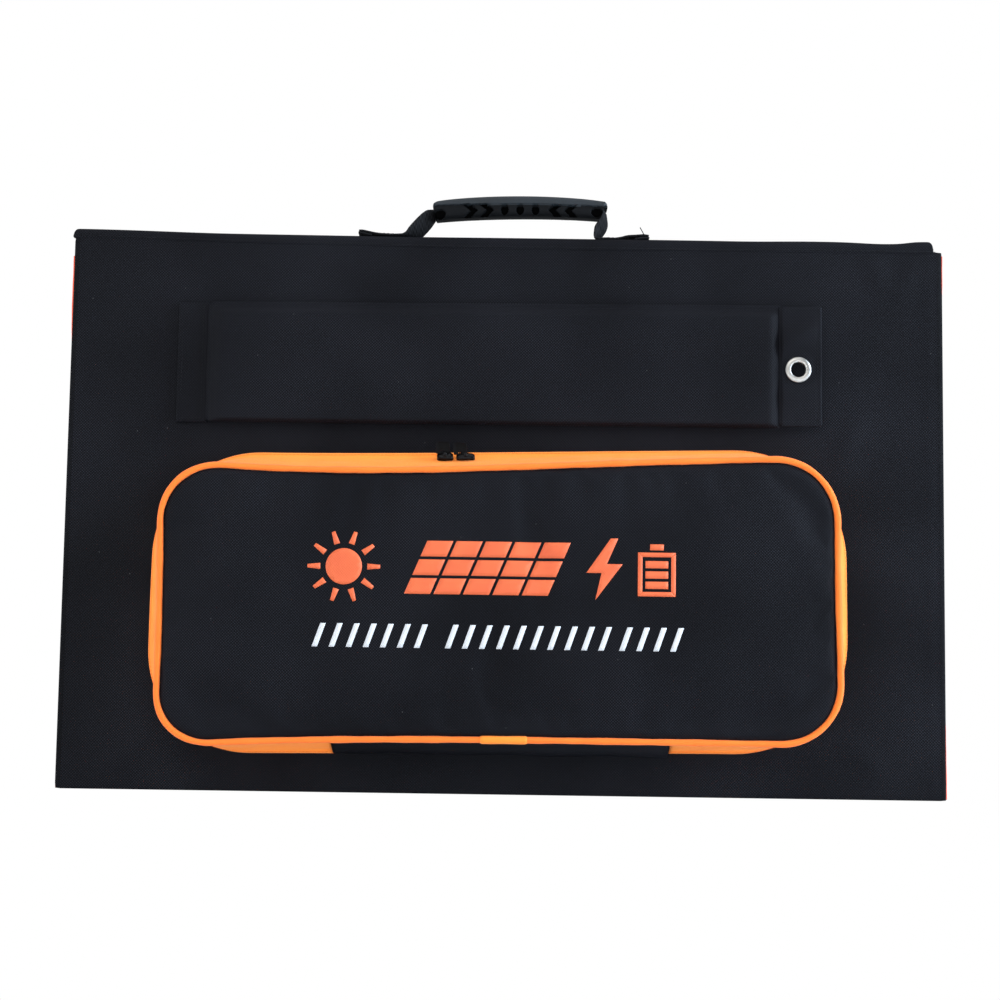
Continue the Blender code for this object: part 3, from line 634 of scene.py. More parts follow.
def cover(name, body, inward):
    """A panel's fabric cover: outer face, rolled edges, and a hem folded over onto the cell side."""
    low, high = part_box(name + "_cover")
    outer = low.y if inward > 0 else high.y
    bottom, top, seed = {"front": (0, SEAM_Z, 0), "second": (4 * MM, SEAM_Z, 3.3),
                         "third": (4 * MM, REAR_SEAM_Z, 5.1), "rear": (1 * MM, REAR_SEAM_Z, 8.7)}[name]
    step = 2.5 * MM if name == "front" else 6 * MM
    half = 299.1 * MM
    xs = spaced(-half + EDGE, half - EDGE, step)
    zs = spaced(bottom + EDGE, top - EDGE, step)

    def face(x, z):
        if name == "front":
            return outer + front_face(x, z)
        wave = 0.30 * MM * wave_cloud(x, z, 0.19, seed)
        hem = 0.22 * MM * bump_line(half - np.abs(x) - HEM, 0.8 * MM)
        return outer + inward * (np.abs(wave) + hem)

    rim = 7 * MM
    loops = [(outset, outer + inward * depth * MM) for outset, depth in (
        (0.7 * EDGE, 0.35), (EDGE, 1.3), (EDGE, 8.5), (0.6 * EDGE, 9.5), (-0.4 * MM, 9.85), (-rim, 9.8),
        (-rim - 0.4 * MM, 9.2))]
    obj = slab(name + "_fabric", xs, zs, face, loops, FABRIC, closed=False)
    # The hem strips take the darker hem tape, which is partly painted shade.
    obj.data.materials.append(HEM_TAPE_SHADED)
    for polygon in obj.data.polygons:
        polygon.material_index = int(abs(polygon.center.x) > half - HEM)
    thicken(obj, 0.55 * MM)
    if name == "front":
        for vert in obj.data.vertices:
            vert.co.z += seam_lift(vert.co.x) * float(ease((vert.co.z - 345 * MM) / (25 * MM)))
    place_on(obj, body, "fabric", name + "_cover")


def binding_tuck(z, side):
    """How far the binding's front edge tucks in behind the cover: least at the top left and bottom right."""
    if side < 0:
        proud = float(ease((z - 295 * MM) / (30 * MM)))
    else:
        proud = 0.6 * float(ease((75 * MM - z) / (60 * MM)) + ease((z - 335 * MM) / (20 * MM)))
    return 0.95 * MM * (1 - proud)


def binding(name, body, word, side):
    """The bright tape that binds a cover's side: a shallow bow that just stands out past the cover."""
    low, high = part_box(f"{name}_binding_{word}")
    covered = 9 * MM if (name, side) == ("front", -1) else 0  # the spine's fabric wraps over this end
    middle_y = (low.y + high.y) / 2
    profile = [(0.0, -4.3), (0.55, -4.15), (0.9, -3.5), (1.0, -2.0), (0.95, 0.0), (1.0, 2.0), (0.9, 3.5),
               (0.55, 4.15), (0.0, 4.3)]
    rows = []
    for z in spaced(low.z, high.z - covered, 4 * MM):
        tuck = binding_tuck(z, side) if name == "front" else 0.0
        puff = 0.06 * MM * math.sin(z * 410 + side) + 0.05 * MM * math.sin(z * 173)
        rows.append([(side * (298.4 * MM + x * (1.6 * MM + puff - tuck * float(ease((0.8 - y) / 3)))),
                      middle_y + y * MM, z) for x, y in profile])
    tape = sheet(f"{name}_binding_tape_{word}", np.array(rows), BINDING, 0.5 * MM)
    place_on(tape, body, "binding", f"{name}_binding_{word}")


def solar_face(name, body, inward):
    """Cells, their ribbons and the film they lie on."""
    paint(name + "_laminate", FILM)
    low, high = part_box(name + "_laminate")
    surface = (high.y if inward > 0 else low.y) + inward * 0.06 * MM
    columns, rows, ribbons = 3, 4, 9
    cell_width, cell_height, gap = 182 * MM, 87 * MM, 2.4 * MM
    hx, hz = cell_width / 2, cell_height / 2
    cells, strips = ([], []), ([], [])
    for c in range(columns):
        for r in range(rows):
            cx = (c - (columns - 1) / 2) * (cell_width + gap)
            cz = (low.z + high.z) / 2 + (r - (rows - 1) / 2) * (cell_height + gap)
            below, above = (7 * MM, 0.3 * MM) if r % 2 == 0 else (0.3 * MM, 7 * MM)  # cut corners
            outline = [(-hx + below, -hz), (hx - below, -hz), (hx, -hz + below), (hx, hz - above),
                       (hx - above, hz), (-hx + above, hz), (-hx, hz - above), (-hx, -hz + below)]
            cells[1].extend(tube_faces(2, 8, len(cells[0])))
            cells[0].extend((cx + x, surface + depth, cz + z) for depth in (0.0, inward * 0.12 * MM)
                            for x, z in outline)
            for k in range(ribbons):
                x0 = cx - hx + cell_width * (k + 0.5) / ribbons
                add_bar(*strips, (x0 - 0.4 * MM, x0 + 0.4 * MM),
                        sorted((surface + inward * 0.14 * MM, surface + inward * 0.24 * MM)),
                        (cz - hz - gap / 2, cz + hz + gap / 2))
    for suffix, (points, faces), material, slot in (("_cells", cells, SILICON, "laminate"),
                                                    ("_cell_ribbons", strips, SOLDER, "nickel")):
        place_on(outward_normals(mesh_from(name + suffix, points, faces, material, smooth=False)), body, slot)


def add_bar(points, faces, x, y, z):
    """Adds one box to lists of points and faces."""
    first = len(points)
    points += [(a, b, c) for a in x for b in y for c in z]
    for quad in ((0, 1, 3, 2), (4, 6, 7, 5), (0, 4, 5, 1), (2, 3, 7, 6), (0, 2, 6, 4), (1, 5, 7, 3)):
        faces.append(tuple(first + i for i in quad))


def cover_stitching():
    """Thread along the side hems and the top seam of the front cover."""
    lines = []
    for side in (-1, 1):
        x = side * (FRONT_HALF - HEM)
        zs = spaced(2 * MM, SEAM_Z - 3 * MM, 5 * MM)
        lines.append(([(x, FRONT_Y + float(front_face(x, z)) - 0.05 * MM, z) for z in zs], OUT_FRONT))
    place_on(stitches("front_hem_stitches", lines, THREAD, radius=0.2 * MM), "front_panel", "fabric")
    xs = spaced(-FRONT_HALF + 2 * MM, FRONT_HALF - 2 * MM, 5 * MM)
    seam = [(x, FRONT_Y - 0.62 * MM, SEAM_Z + seam_lift(x) + (0.1 + 0.3 * math.sin(x * 37)) * MM) for x in xs]
    place_on(stitches("front_seam_stitches", [(seam, OUT_FRONT)], THREAD, pitch=4.2 * MM, length=3.0 * MM,
                      radius=0.24 * MM), "front_panel", "fabric")


# ---------------------------------------------------------------- spines and the lower fold

SPINE_PROFILE = [  # mm in from the panel's face, share of the rise from seam to top, and mm above that
    (0.6, 0, -2.0), (-0.25, 0, -1.2), (-0.5, 0, -0.2), (-0.15, 0, 0.9), (-0.2, 0.35, 0), (-0.05, 0.60, 0),
    (0.35, 0.80, 0), (1.1, 0.94, 0), (2.4, 1, 0.1), (5.0, 1, 0.25)]


def spine_half(name, panel_body, spine_body, panel_y, seam_z, top_z, middle_y, *nodes):
    """Half of a spine's fabric, from its seam on a panel up and over to the middle of the spine."""
    inward = 1 if middle_y > panel_y else -1
    profile = [(panel_y + inward * depth * MM, seam_z + share * (top_z - seam_z) + extra * MM)
               for depth, share, extra in SPINE_PROFILE] + [(middle_y, top_z + 0.3 * MM)]
    profile = interpolate(np.linspace(0, len(profile) - 1, 31), range(len(profile)), profile)
    left, right = (-300.2 if panel_body == "front_panel" else -298.0) * MM, 293.0 * MM
    rounded = np.array([0, 0.5, 1.2, 2.2]) * MM
    between = spaced(left + 4 * MM, right - 4 * MM, 4 * MM)
    xs = np.concatenate([left + rounded, between, right - rounded[::-1]])
    points = np.zeros((len(xs), len(profile), 3))
    bow = np.sin(math.pi * np.linspace(0, 1, len(profile)))
    climb = np.clip((profile[:, 1] - seam_z) / (top_z - seam_z), 0, 1)
    for row, x in zip(points, xs):
        sag = 0.35 * MM * math.sin(x * 19 + 0.7) + 0.2 * MM * math.sin(x * 53 + panel_y * 900)
        full = 0.4 + 0.6 * rounding(min(x - left, right - x), 3.0 * MM)
        row[:, 0] = x
        row[:, 1] = profile[:, 0] + inward * 0.3 * sag * bow
        row[:, 2] = seam_z + (profile[:, 1] + 0.4 * sag * bow - seam_z) * full
        if spine_body == "front_spine":
            row[:, 2] += spine_sway(x) * climb
        if panel_body == "front_panel":
            row[:, 2] += seam_lift(x) * (1 - climb)
    start = (0, panel_y - inward * 0.3 * MM, top_z - 2.6 * MM)
    end = (0, panel_y + inward * 2.2 * MM, top_z + 0.3 * MM)
    obj = sheet(name, points, FABRIC, 0.9 * MM, facing=(0, -inward, 0))
    join(obj, "fabric", panel_body, spine_body, start, end, *nodes)


def rounding(distance, radius):
    """Quarter-circle growth from 0 to 1 over a radius."""
    return math.sqrt(max(0.0, 1 - (1 - min(max(distance, 0.0) / radius, 1.0)) ** 2))


def spines():
    for spine, near, far, seam_z in (("front_spine", "front", "second", SEAM_Z),
                                     ("rear_spine", "third", "rear", REAR_SEAM_Z)):
        near_y, far_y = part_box(near + "_cover")[0].y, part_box(far + "_cover")[1].y
        strip = spine + "_strip"
        rise = (seam_z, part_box(strip)[1].z, (near_y + far_y) / 2)
        spine_half(spine + "_fabric", near + "_panel", spine, near_y, *rise, strip)
        spine_half(spine + "_fabric_rear", far + "_panel", spine, far_y, *rise)


def lower_fold():
    """The narrow fold that joins panels 2 and 3 along the bottom."""
    second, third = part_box("second_cover")[1].y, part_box("third_cover")[0].y
    axis_z = 0.4 * MM
    radius = (third - second) / 2
    side = [7, 5.5, 4, 2.4]
    profile = [(second, z * MM) for z in side]
    profile += [((second + third) / 2 - radius * math.cos(a), axis_z + 0.7 * MM - radius * math.sin(a))
                for a in np.linspace(0, math.pi, 9)]
    profile += [(third, z * MM) for z in reversed(side)]
    points = [[(x, y, z) for y, z in profile] for x in spaced(-296.5 * MM, 296.5 * MM, 6 * MM)]
    fold = sheet("lower_fold_fabric", np.array(points), FABRIC, 0.4 * MM)
    join(fold, "fabric", "second_panel", "third_panel", (0, second, axis_z), (0, third, axis_z))


# ---------------------------------------------------------------- legs

LEG_AXIS_X = -204.5 * MM
LEG_Z = 290 * MM
LEG_HALF = 41.5 * MM
SEAM_INSET = 3.1 * MM
FLAP_HEM = 1.3 * MM  # how far the free flap's sewn edge reaches past its solid
GROMMET_RING = [  # radius and distance out from the panel in mm
    (5.0, 3.5), (4.95, 6.6), (5.15, 7.5), (5.7, 7.95), (6.6, 8.0), (7.6, 7.85), (8.4, 7.5), (8.9, 7.15),
    (8.7, 6.95), (7.0, 7.0), (5.75, 6.9), (5.7, 3.5)]
GROMMET_BACK = [(6.0, 3.55), (6.3, 3.3), (7.4, 3.35), (8.3, 3.9), (8.0, 4.25), (6.1, 4.3)]
FLAP_CREASES = [(174, 299, 222, 322, 6, 2.6), (180, 266, 222, 280, 5, 1.3)]


def leg_lift(x, z):
    """How far the sewn leg runs uphill towards its free end: more along its top edge than its bottom one."""
    share = (z - LEG_Z) / LEG_HALF
    return (x - LEG_AXIS_X) * (0.0058 + 0.0024 * share)


def lift_leg(obj):
    for vert in obj.data.vertices:
        vert.co.z += leg_lift(vert.co.x, vert.co.z)
    return obj


class Leg:
    """One of the two swing-out legs. out(d) is the y that lies d mm out from the panel's face."""

    def __init__(self, name, panel, outward):
        self.name, self.panel_body, self.outward = name, panel + "_panel", outward
        self.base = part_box(panel + "_cover")[0 if outward < 0 else 1].y
        self.low, self.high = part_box(name + "_sleeve")
        self.sleeve()
        self.anchor()
        self.foot()
        for suffix in ("_hook_patch", "_loop_patch"):
            paint(name + suffix, PILE)

    def out(self, distance):
        return self.base + self.outward * distance * MM

    def flap(self, suffix, xs, zs, face, loops):
        """A closed piece of sewn fabric, from its face and its (outset, distance out) loops in mm."""
        loops = [(outset * MM, self.out(distance)) for outset, distance in loops]
        return lift_leg(slab(self.name + suffix, xs, zs, face, loops, FABRIC))

    def hinge(self, suffix, places, zs, heights, bodies, start, end):
        """A strip of fabric between two bodies, with its heights in mm between two places in x."""
        xs = np.linspace(*places, len(heights))
        points = [[(x, self.out(height), z) for x, height in zip(xs, heights)] for z in zs]
        strip = lift_leg(sheet(self.name + suffix, np.array(points), FABRIC, 0.7 * MM, facing=OUT_FRONT))
        join(strip, "fabric", *bodies, (start, 0, 0), (end, 0, 0))

    def sew(self, suffix, body, *paths):
        lines = [(path, (0, self.outward, 0)) for path in paths]
        seam = stitches(self.name + suffix, lines, THREAD, radius=0.21 * MM)
        place_on(lift_leg(seam), body, "fabric")

    def three_sides(self, start_x, turn_x, low, high, distance):
        """A seam along a flap's top, down its side at turn_x, and back along its bottom."""
        top, bottom = high.z - SEAM_INSET, low.z + SEAM_INSET
        corners = [(start_x, top), (turn_x, top), (turn_x, bottom), (start_x, bottom)]
        return [(x, self.out(distance), z) for x, z in corners]

    def sleeve_face(self, x, z):
        """A flat stitched border round a board with rounded edges."""
        low, high = self.low, self.high
        ends = ease((x - low.x - 0.6 * MM) / (8.0 * MM)) * ease((high.x - 0.6 * MM - x) / (6.2 * MM))
        below = (z - low.z - 0.3 * MM) / (2.0 * MM)
        above = (high.z - 3.7 * MM - z) / (4.5 * MM)
        rise = ends * ease(np.minimum(below, above))
        crown = 0.30 * np.sin(math.pi * np.clip((z - low.z) / (high.z - low.z), 0, 1))
        wave = 0.24 * wave_cloud(x, z, 0.16, 6.4) + 0.08 * wave_cloud(x, z, 0.035, 9.2)
        furrow = -0.22 * bump_line(high.z - z - SEAM_INSET, 0.7 * MM)
        return self.out(5.6 + (2.8 + crown + wave) * rise + furrow)

    def sleeve(self):
        low, high = self.low, self.high
        step = 2.2 * MM if self.outward < 0 else 4 * MM
        xs = spaced(low.x + 0.6 * MM, high.x - 0.3 * MM, step)
        zs = spaced(low.z + 0.7 * MM, high.z - 0.7 * MM, step * 0.5)
        loops = [(0.45, 5.2), (0.7, 4.6), (0.6, 3.5), (0.0, 3.0), (-6, 2.95)]
        sleeve = self.flap("_padded_sleeve", xs, zs, self.sleeve_face, loops)
        place_on(sleeve, self.name, "fabric", self.name + "_sleeve", self.name + "_board")
        z = high.z - SEAM_INSET
        xs = spaced(low.x + 2 * MM, high.x - 1 * MM, 4 * MM)
        ys = self.sleeve_face(xs, np.full_like(xs, z)) + self.outward * 0.04 * MM
        self.sew("_sleeve_stitches", self.name, [(x, y, z) for x, y in zip(xs, ys)])

    def anchor(self):
        """The flap that is sewn to the panel, and the hinge between it and the sleeve."""
        low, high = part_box(self.name + "_anchor")

        def face(x, z):
            edge = np.minimum(np.minimum(x - low.x, z - low.z), high.z - z)
            furrow = bump_line(edge - 3.0 * MM, 0.7 * MM) + bump_line(high.x - 3 * MM - x, 0.8 * MM)
            return self.out(2.4 - 0.30 * furrow + 0.22 * wave_cloud(x, z, 0.05, 3.3))

        xs = spaced(low.x + 0.5 * MM, high.x + 0.2 * MM, 1.6 * MM)
        zs = spaced(low.z + 0.5 * MM, high.z - 0.5 * MM, 2 * MM)
        loops = [(0.4, 2.0), (0.5, 1.4), (0.3, 0.35), (-2, 0.32)]
        flap = self.flap("_anchor_flap", xs, zs, face, loops)
        place_on(flap, self.panel_body, "fabric", self.name + "_anchor")
        zs = spaced(self.low.z + 1.2 * MM, self.high.z - 1.2 * MM, 3 * MM)
        self.hinge("_hinge_fabric", (high.x - 0.6 * MM, self.low.x + 1.0 * MM), zs,
                   2.1 + 3.3 * ease(np.linspace(0, 1, 9)), (self.panel_body, self.name),
                   LEG_AXIS_X - 0.9 * MM, LEG_AXIS_X + 1.1 * MM)
        double = [(high.x - SEAM_INSET, self.out(2.25), z) for z in (low.z + 2 * MM, high.z - 2 * MM)]
        edge = self.three_sides(high.x - 1 * MM, low.x + SEAM_INSET, low, high, 2.2)
        self.sew("_anchor_stitches", self.panel_body, edge, double)

    def foot(self):
        """The pegging flap at the leg's free end, with its grommet, and its own hinge."""
        body = self.name + "_foot"
        low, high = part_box(self.name + "_foot_flap")
        grommet_low, grommet_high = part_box(self.name + "_grommet")
        centre = (grommet_low + grommet_high) / 2
        right = high.x + FLAP_HEM

        def face(x, z):
            edge = np.minimum(np.minimum(right - x, z - low.z), high.z - z)
            furrow = -0.28 * bump_line(edge - 3.0 * MM, 0.6 * MM)
            radius = np.hypot(x - centre.x, z - centre.z)
            dimple = -0.45 * bump_line(radius - 9 * MM, 5 * MM) + 0.3 * wave_cloud(x, z, 0.045, 5.5)
            folds = creases(x, z, FLAP_CREASES) / MM
            return self.out(6.75 + furrow + (dimple + folds) * ease((radius - 8.5 * MM) / (3 * MM)))

        xs = spaced(low.x + 0.4 * MM, right - 0.6 * MM, 1.3 * MM)
        zs = spaced(low.z + 0.6 * MM, high.z - 0.6 * MM, 1.5 * MM)
        loops = [(0.45, 6.4), (0.6, 5.7), (0.45, 5.0), (-0.2, 4.7)]
        flap = self.flap("_foot_fabric", xs, zs, face, loops)
        bore(flap, (centre.x, self.out(5.7), centre.z), 6.0 * MM)
        place_on(flap, body, "fabric", self.name + "_foot_flap")
        for suffix, profile, node in (("_grommet_ring", GROMMET_RING, "_grommet"),
                                      ("_grommet_back", GROMMET_BACK, "_grommet_washer")):
            ring = turned(self.name + suffix, [(r * MM, self.out(d)) for r, d in profile], centre, NICKEL)
            place_on(ring, body, "nickel", self.name + node)
        places = (self.high.x - 0.8 * MM, low.x + 1.2 * MM)
        shares = np.linspace(0, 1, 7)
        self.hinge("_foot_hinge_fabric", places, spaced(low.z + 0.5 * MM, high.z - 0.5 * MM, 3 * MM),
                   5.9 + 0.6 * shares + 0.15 * np.sin(math.pi * shares), (self.name, body), *places)
        self.sew("_foot_stitches", body, self.three_sides(low.x + 1 * MM, right - SEAM_INSET, low, high, 6.6))


def bore(obj, place, radius):
    """Cuts a round hole along Y."""
    shape = bmesh.new()
    bmesh.ops.create_cone(shape, cap_ends=True, segments=48, radius1=radius, radius2=radius, depth=20 * MM)
    mesh = bpy.data.meshes.new("hole")
    shape.to_mesh(mesh)
    shape.free()
    cutter = bpy.data.objects.new("hole", mesh)
    bpy.context.scene.collection.objects.link(cutter)
    cutter.location = place
    cutter.rotation_euler.x = math.pi / 2
    cut = obj.modifiers.new("Hole", "BOOLEAN")
    cut.operation = "DIFFERENCE"
    cut.object = cutter
    apply_modifiers(obj)
    bpy.data.objects.remove(cutter)


# ---------------------------------------------------------------- pouch

ZIP_LEFT = -112.5 * MM
ZIP_RIGHT = 110.5 * MM
PIPING_Y = -31 * MM
BASE_OUTLINE = (
    [(-0.2366, 0.0254), (0.2306, 0.0298), (0.2290, 0.2350), (-0.2350, 0.2276)],
    [(0.0010, 0.75), (-0.0010, 0.5), (0.0018, 0.70), (-0.0017, 0.5)],
    (0.068, 0.075, 0.075, 0.070))
LID_OUTLINE = (  # the middle of the piping
    [(-0.2287, 0.0286), (0.2237, 0.0373), (0.2225, 0.2270), (-0.2305, 0.2192)],
    [(0.0054, 0.30), (0.0015, 0.65), (0.0068, 0.68), (0.0016, 0.5)],
    (0.0385, 0.0405, 0.0440, 0.0415))
LID_TAPE = [  # share of the way from the chain to the lid's edge, depth and puff in mm
    (0.0, -13.4, 0.0), (0.06, -13.7, 0.0), (0.16, -14.4, 0.1), (0.28, -15.6, 0.2), (0.40, -17.2, 0.3),
    (0.52, -19.4, 0.3), (0.64, -22.0, 0.2), (0.76, -24.9, 0.0), (0.84, -26.8, -0.2), (0.88, -27.6, -0.4),
    (0.95, -28.4, 0.0), (1.0, -29.4, 0.2)]
LID_CREASES = [
    (-215, 60, -150, 52, 9, 1.0), (-205, 190, -170, 150, 10, 0.7), (150, 48, 212, 70, 9, 1.1),
    (180, 200, 205, 150, 9, -0.7), (-120, 205, -110, 170, 7, -0.6), (-60, 60, 80, 50, 12, 0.9),
    (-160, 80, -20, 62, 10, -0.6)]
HINGE_PROFILE = [  # z and y in mm
    (27.6, -5.2), (27.0, -6.0), (26.7, -7.5), (26.6, -10), (26.9, -14), (28.0, -18), (29.8, -21.5),
    (32.0, -24.5), (34.2, -27.2), (36.2, -29.0)]


def between_zip_ends(path):
    """The part of a closed outline from the zip's right end, up and over, to its left end."""
    first = next(i for i, p in enumerate(path) if p[0] >= ZIP_RIGHT)
    last = next(i for i in range(len(path) - 1, 0, -1) if path[i][0] <= ZIP_LEFT)
    return path[first:last + 1]


def zip_lines(step):
    """Matching outlines of the chain and of the lid's edge, open between the two ends of the zip."""
    base, lid = (between_zip_ends(soft_outline(*outline, step)) for outline in (BASE_OUTLINE, LID_OUTLINE))
    return base, interpolate(np.linspace(0, len(lid) - 1, len(base)), range(len(lid)), lid)


def outward_of(path):
    along = np.gradient(path, axis=0)
    along /= np.linalg.norm(along, axis=1)[:, None]
    return np.stack([along[:, 1], -along[:, 0]], 1)


def at_depth(line, y):
    """Puts a line of (x, z) points at a depth, which may differ from point to point."""
    return np.insert(line, 1, y, axis=1)


def pouch_tapes():
    base, lid = zip_lines(2 * MM)
    outward = outward_of(base)
    rows = [at_depth(base + outward * flare * MM, depth * MM)
            for flare, depth in ((0.7, -5.15), (0.2, -5.9), (0.0, -7.2), (0.0, -9.2))]
    tape = sheet("zip_tape_panel_side", np.array(rows), ZIP_TAPE, 0.6 * MM)
    place_on(tape, "front_panel", "orange_tape", "zip_tape_base")

    reach = distances(base)
    rows = []
    for share, depth, puff in LID_TAPE:
        ripple = 0.25 * np.sin(reach / (17 * MM) + depth) + 0.18 * np.sin(reach / (7.3 * MM) + 2 * depth)
        proud = (puff + ripple * math.sin(math.pi * min(share * 1.1, 1))) * MM
        rows.append(at_depth(base * (1 - share) + lid * share + outward * proud[:, None], depth * MM))
    gusset = sheet("zip_tape_lid_side", np.array(rows), ZIP_TAPE, 0.7 * MM)
    place_on(gusset, "pouch_lid", "orange_tape", "zip_tape_lid")
    seams = [(at_depth(base * (1 - share) + lid * share + outward * puff * MM, depth * MM), out)
             for share, depth, puff, out in ((0.84, -27.0, 0.15, OUT_FRONT),
                                             (0.10, -14.3, 0.3, (0, -0.9, 0.4)))]
    sewn = stitches("zip_tape_stitches", seams, THREAD_ORANGE, pitch=2.6 * MM, length=1.9 * MM,
                    radius=0.2 * MM)
    place_on(sewn, "pouch_lid", "orange_tape")


def zip_coils():
    """Two interlocking coils: each is a tight helix that follows the zip."""
    base = between_zip_ends(soft_outline(*BASE_OUTLINE, 0.25 * MM))
    outward = outward_of(base)
    turns = distances(base) / (1.5 * MM) * 2 * math.pi
    for side, word, body, centre, phase in (("panel", "base", "front_panel", -10.15 * MM, 0),
                                            ("lid", "lid", "pouch_lid", -12.45 * MM, math.pi)):
        line = base + outward * MM * (0.62 * np.sin(turns + phase) - 0.5)[:, None]
        path = at_depth(line, centre + 0.85 * MM * np.cos(turns + phase))
        coil = cord(f"zip_coil_{side}_side", path, 0.27 * MM, COIL, sides=5)
        place_on(coil, body, "orange_tape", "zip_coil_" + word)


def lid_height(x, z, inset):
    """Depth of the lid's face: a groove beside the piping, a padded crown, soft dents and some slack."""
    crown = 3.0 * MM * (1 - np.exp(-np.clip(inset - 1.9 * MM, 0, 1) / (2.4 * MM)))
    crown += 2.4 * MM * ease(inset / (55 * MM))
    slack = 0.50 * MM * wave_cloud(x, z, 0.17, 2.9) + 0.14 * MM * wave_cloud(x, z, 0.06, 7.7)
    return -30.4 * MM - crown - (slack - creases(x, z, LID_CREASES)) * ease(inset / (14 * MM))


def pouch_lid_panel():
    """The lid's black face, sewn to the piping all round."""
    outline = soft_outline(*LID_OUTLINE, 2.4 * MM)
    insets = [size * MM for size in (0.9, 1.8, 2.6, 3.5, 4.6, 6.0, 8.0, 10.4)]
    flat, faces = filled_outline(outline, insets, 2.8 * MM)
    inset = edge_distance(flat, outline)
    obj = mesh_from("lid_face", at_depth(flat, lid_height(*flat.T, inset)), faces, FABRIC)
    face_towards(obj, OUT_FRONT)
    settle(obj, inset < 2.2 * MM, 1.6 * MM)
    thicken(obj, 1.1 * MM)
    return place_on(obj, "pouch_lid", "fabric", "lid_panel")


def settle(obj, held, cap):
    """Lets Blender's cloth puff a sewn piece out from its held edge, with a little too much fabric, then
    keeps the result as plain vertices. No point moves more than cap."""
    scene = bpy.context.scene
    group = obj.vertex_groups.new(name="held")
    group.add([int(i) for i in np.flatnonzero(held)], 1.0, "REPLACE")
    cloth = obj.modifiers.new("Cloth", "CLOTH")
    settings = cloth.settings
    settings.quality = 6
    settings.mass = 0.25
    settings.tension_stiffness = settings.compression_stiffness = 25
    settings.shear_stiffness = 8
    settings.bending_stiffness = 12
    settings.vertex_group_mass = "held"
    settings.use_pressure = True
    settings.uniform_pressure_force = 1.2
    settings.shrink_min = -0.006
    settings.effector_weights.gravity = 0
    cloth.point_cache.frame_start = 1
    cloth.point_cache.frame_end = 20
    for step in range(1, 21):
        scene.frame_set(step)
    graph = bpy.context.evaluated_depsgraph_get()
    result = obj.evaluated_get(graph).to_mesh()
    start = np.array([v.co for v in obj.data.vertices])
    moved = np.array([v.co for v in result.vertices]) - start
    obj.evaluated_get(graph).to_mesh_clear()
    obj.modifiers.remove(cloth)
    obj.vertex_groups.remove(group)
    scene.frame_set(1)
    size = np.linalg.norm(moved, axis=1)[:, None]
    moved *= cap * np.tanh(size / cap) / np.maximum(size, 1e-9)
    moved[:, [0, 2]] *= 0.6
    for vert, place in zip(obj.data.vertices, start + moved):
        vert.co = place


def piping():
    """The cord round the lid's face, and the short sleeve over its joint."""
    step = 1.5 * MM
    loop = soft_outline(*LID_OUTLINE, step)
    reach = np.arange(len(loop)) * step
    radius = 2.2 * MM + 0.12 * MM * np.sin(reach / (9.1 * MM)) + 0.07 * MM * np.sin(reach / (3.3 * MM))
    path = at_depth(loop, PIPING_Y + 0.25 * MM * np.sin(reach / (23 * MM)))
    ring = cord("orange_piping_cord", path, radius, PIPING, closed=True)
    place_on(ring, "pouch_lid", "orange_tape", "lid_piping")
    joint_x = np.linspace(-14.5 * MM, 16.5 * MM, 24)
    near = np.array([path[np.argmin(np.hypot(path[:, 0] - x, path[:, 2] - path[0, 2]))] for x in joint_x])
    near[:, 0] = joint_x
    near[:, 2] = np.interp(joint_x, joint_x[[0, -1]], near[[0, -1], 2])
    swell = 2.75 * MM + 0.1 * MM * np.sin(np.linspace(0, 9, 24))
    swell[[0, -1]] = 2.35 * MM
    sleeve = cord("piping_joint_sleeve", near, swell, ZIP_TAPE)
    place_on(sleeve, "pouch_lid", "orange_tape", "lid_piping_sleeve")


def hinge_gusset():
    """The black fabric between the zip's ends, on which the lid swings."""
    last = len(HINGE_PROFILE) - 1
    points = [[(x, y * MM, z * MM + 0.3 * MM * math.sin(x * 95 + j * 0.4) * math.sin(math.pi * j / last))
               for j, (z, y) in enumerate(HINGE_PROFILE)]
              for x in spaced(ZIP_LEFT + 0.2 * MM, ZIP_RIGHT - 0.2 * MM, 3 * MM)]
    obj = sheet("lid_hinge_fabric", np.array(points), FABRIC, 0.8 * MM, facing=(0, 0, -1))
    join(obj, "fabric", "front_panel", "pouch_lid", (0, -5.4 * MM, 0), (0, -8.2 * MM, 0), "lid_hinge_gusset")


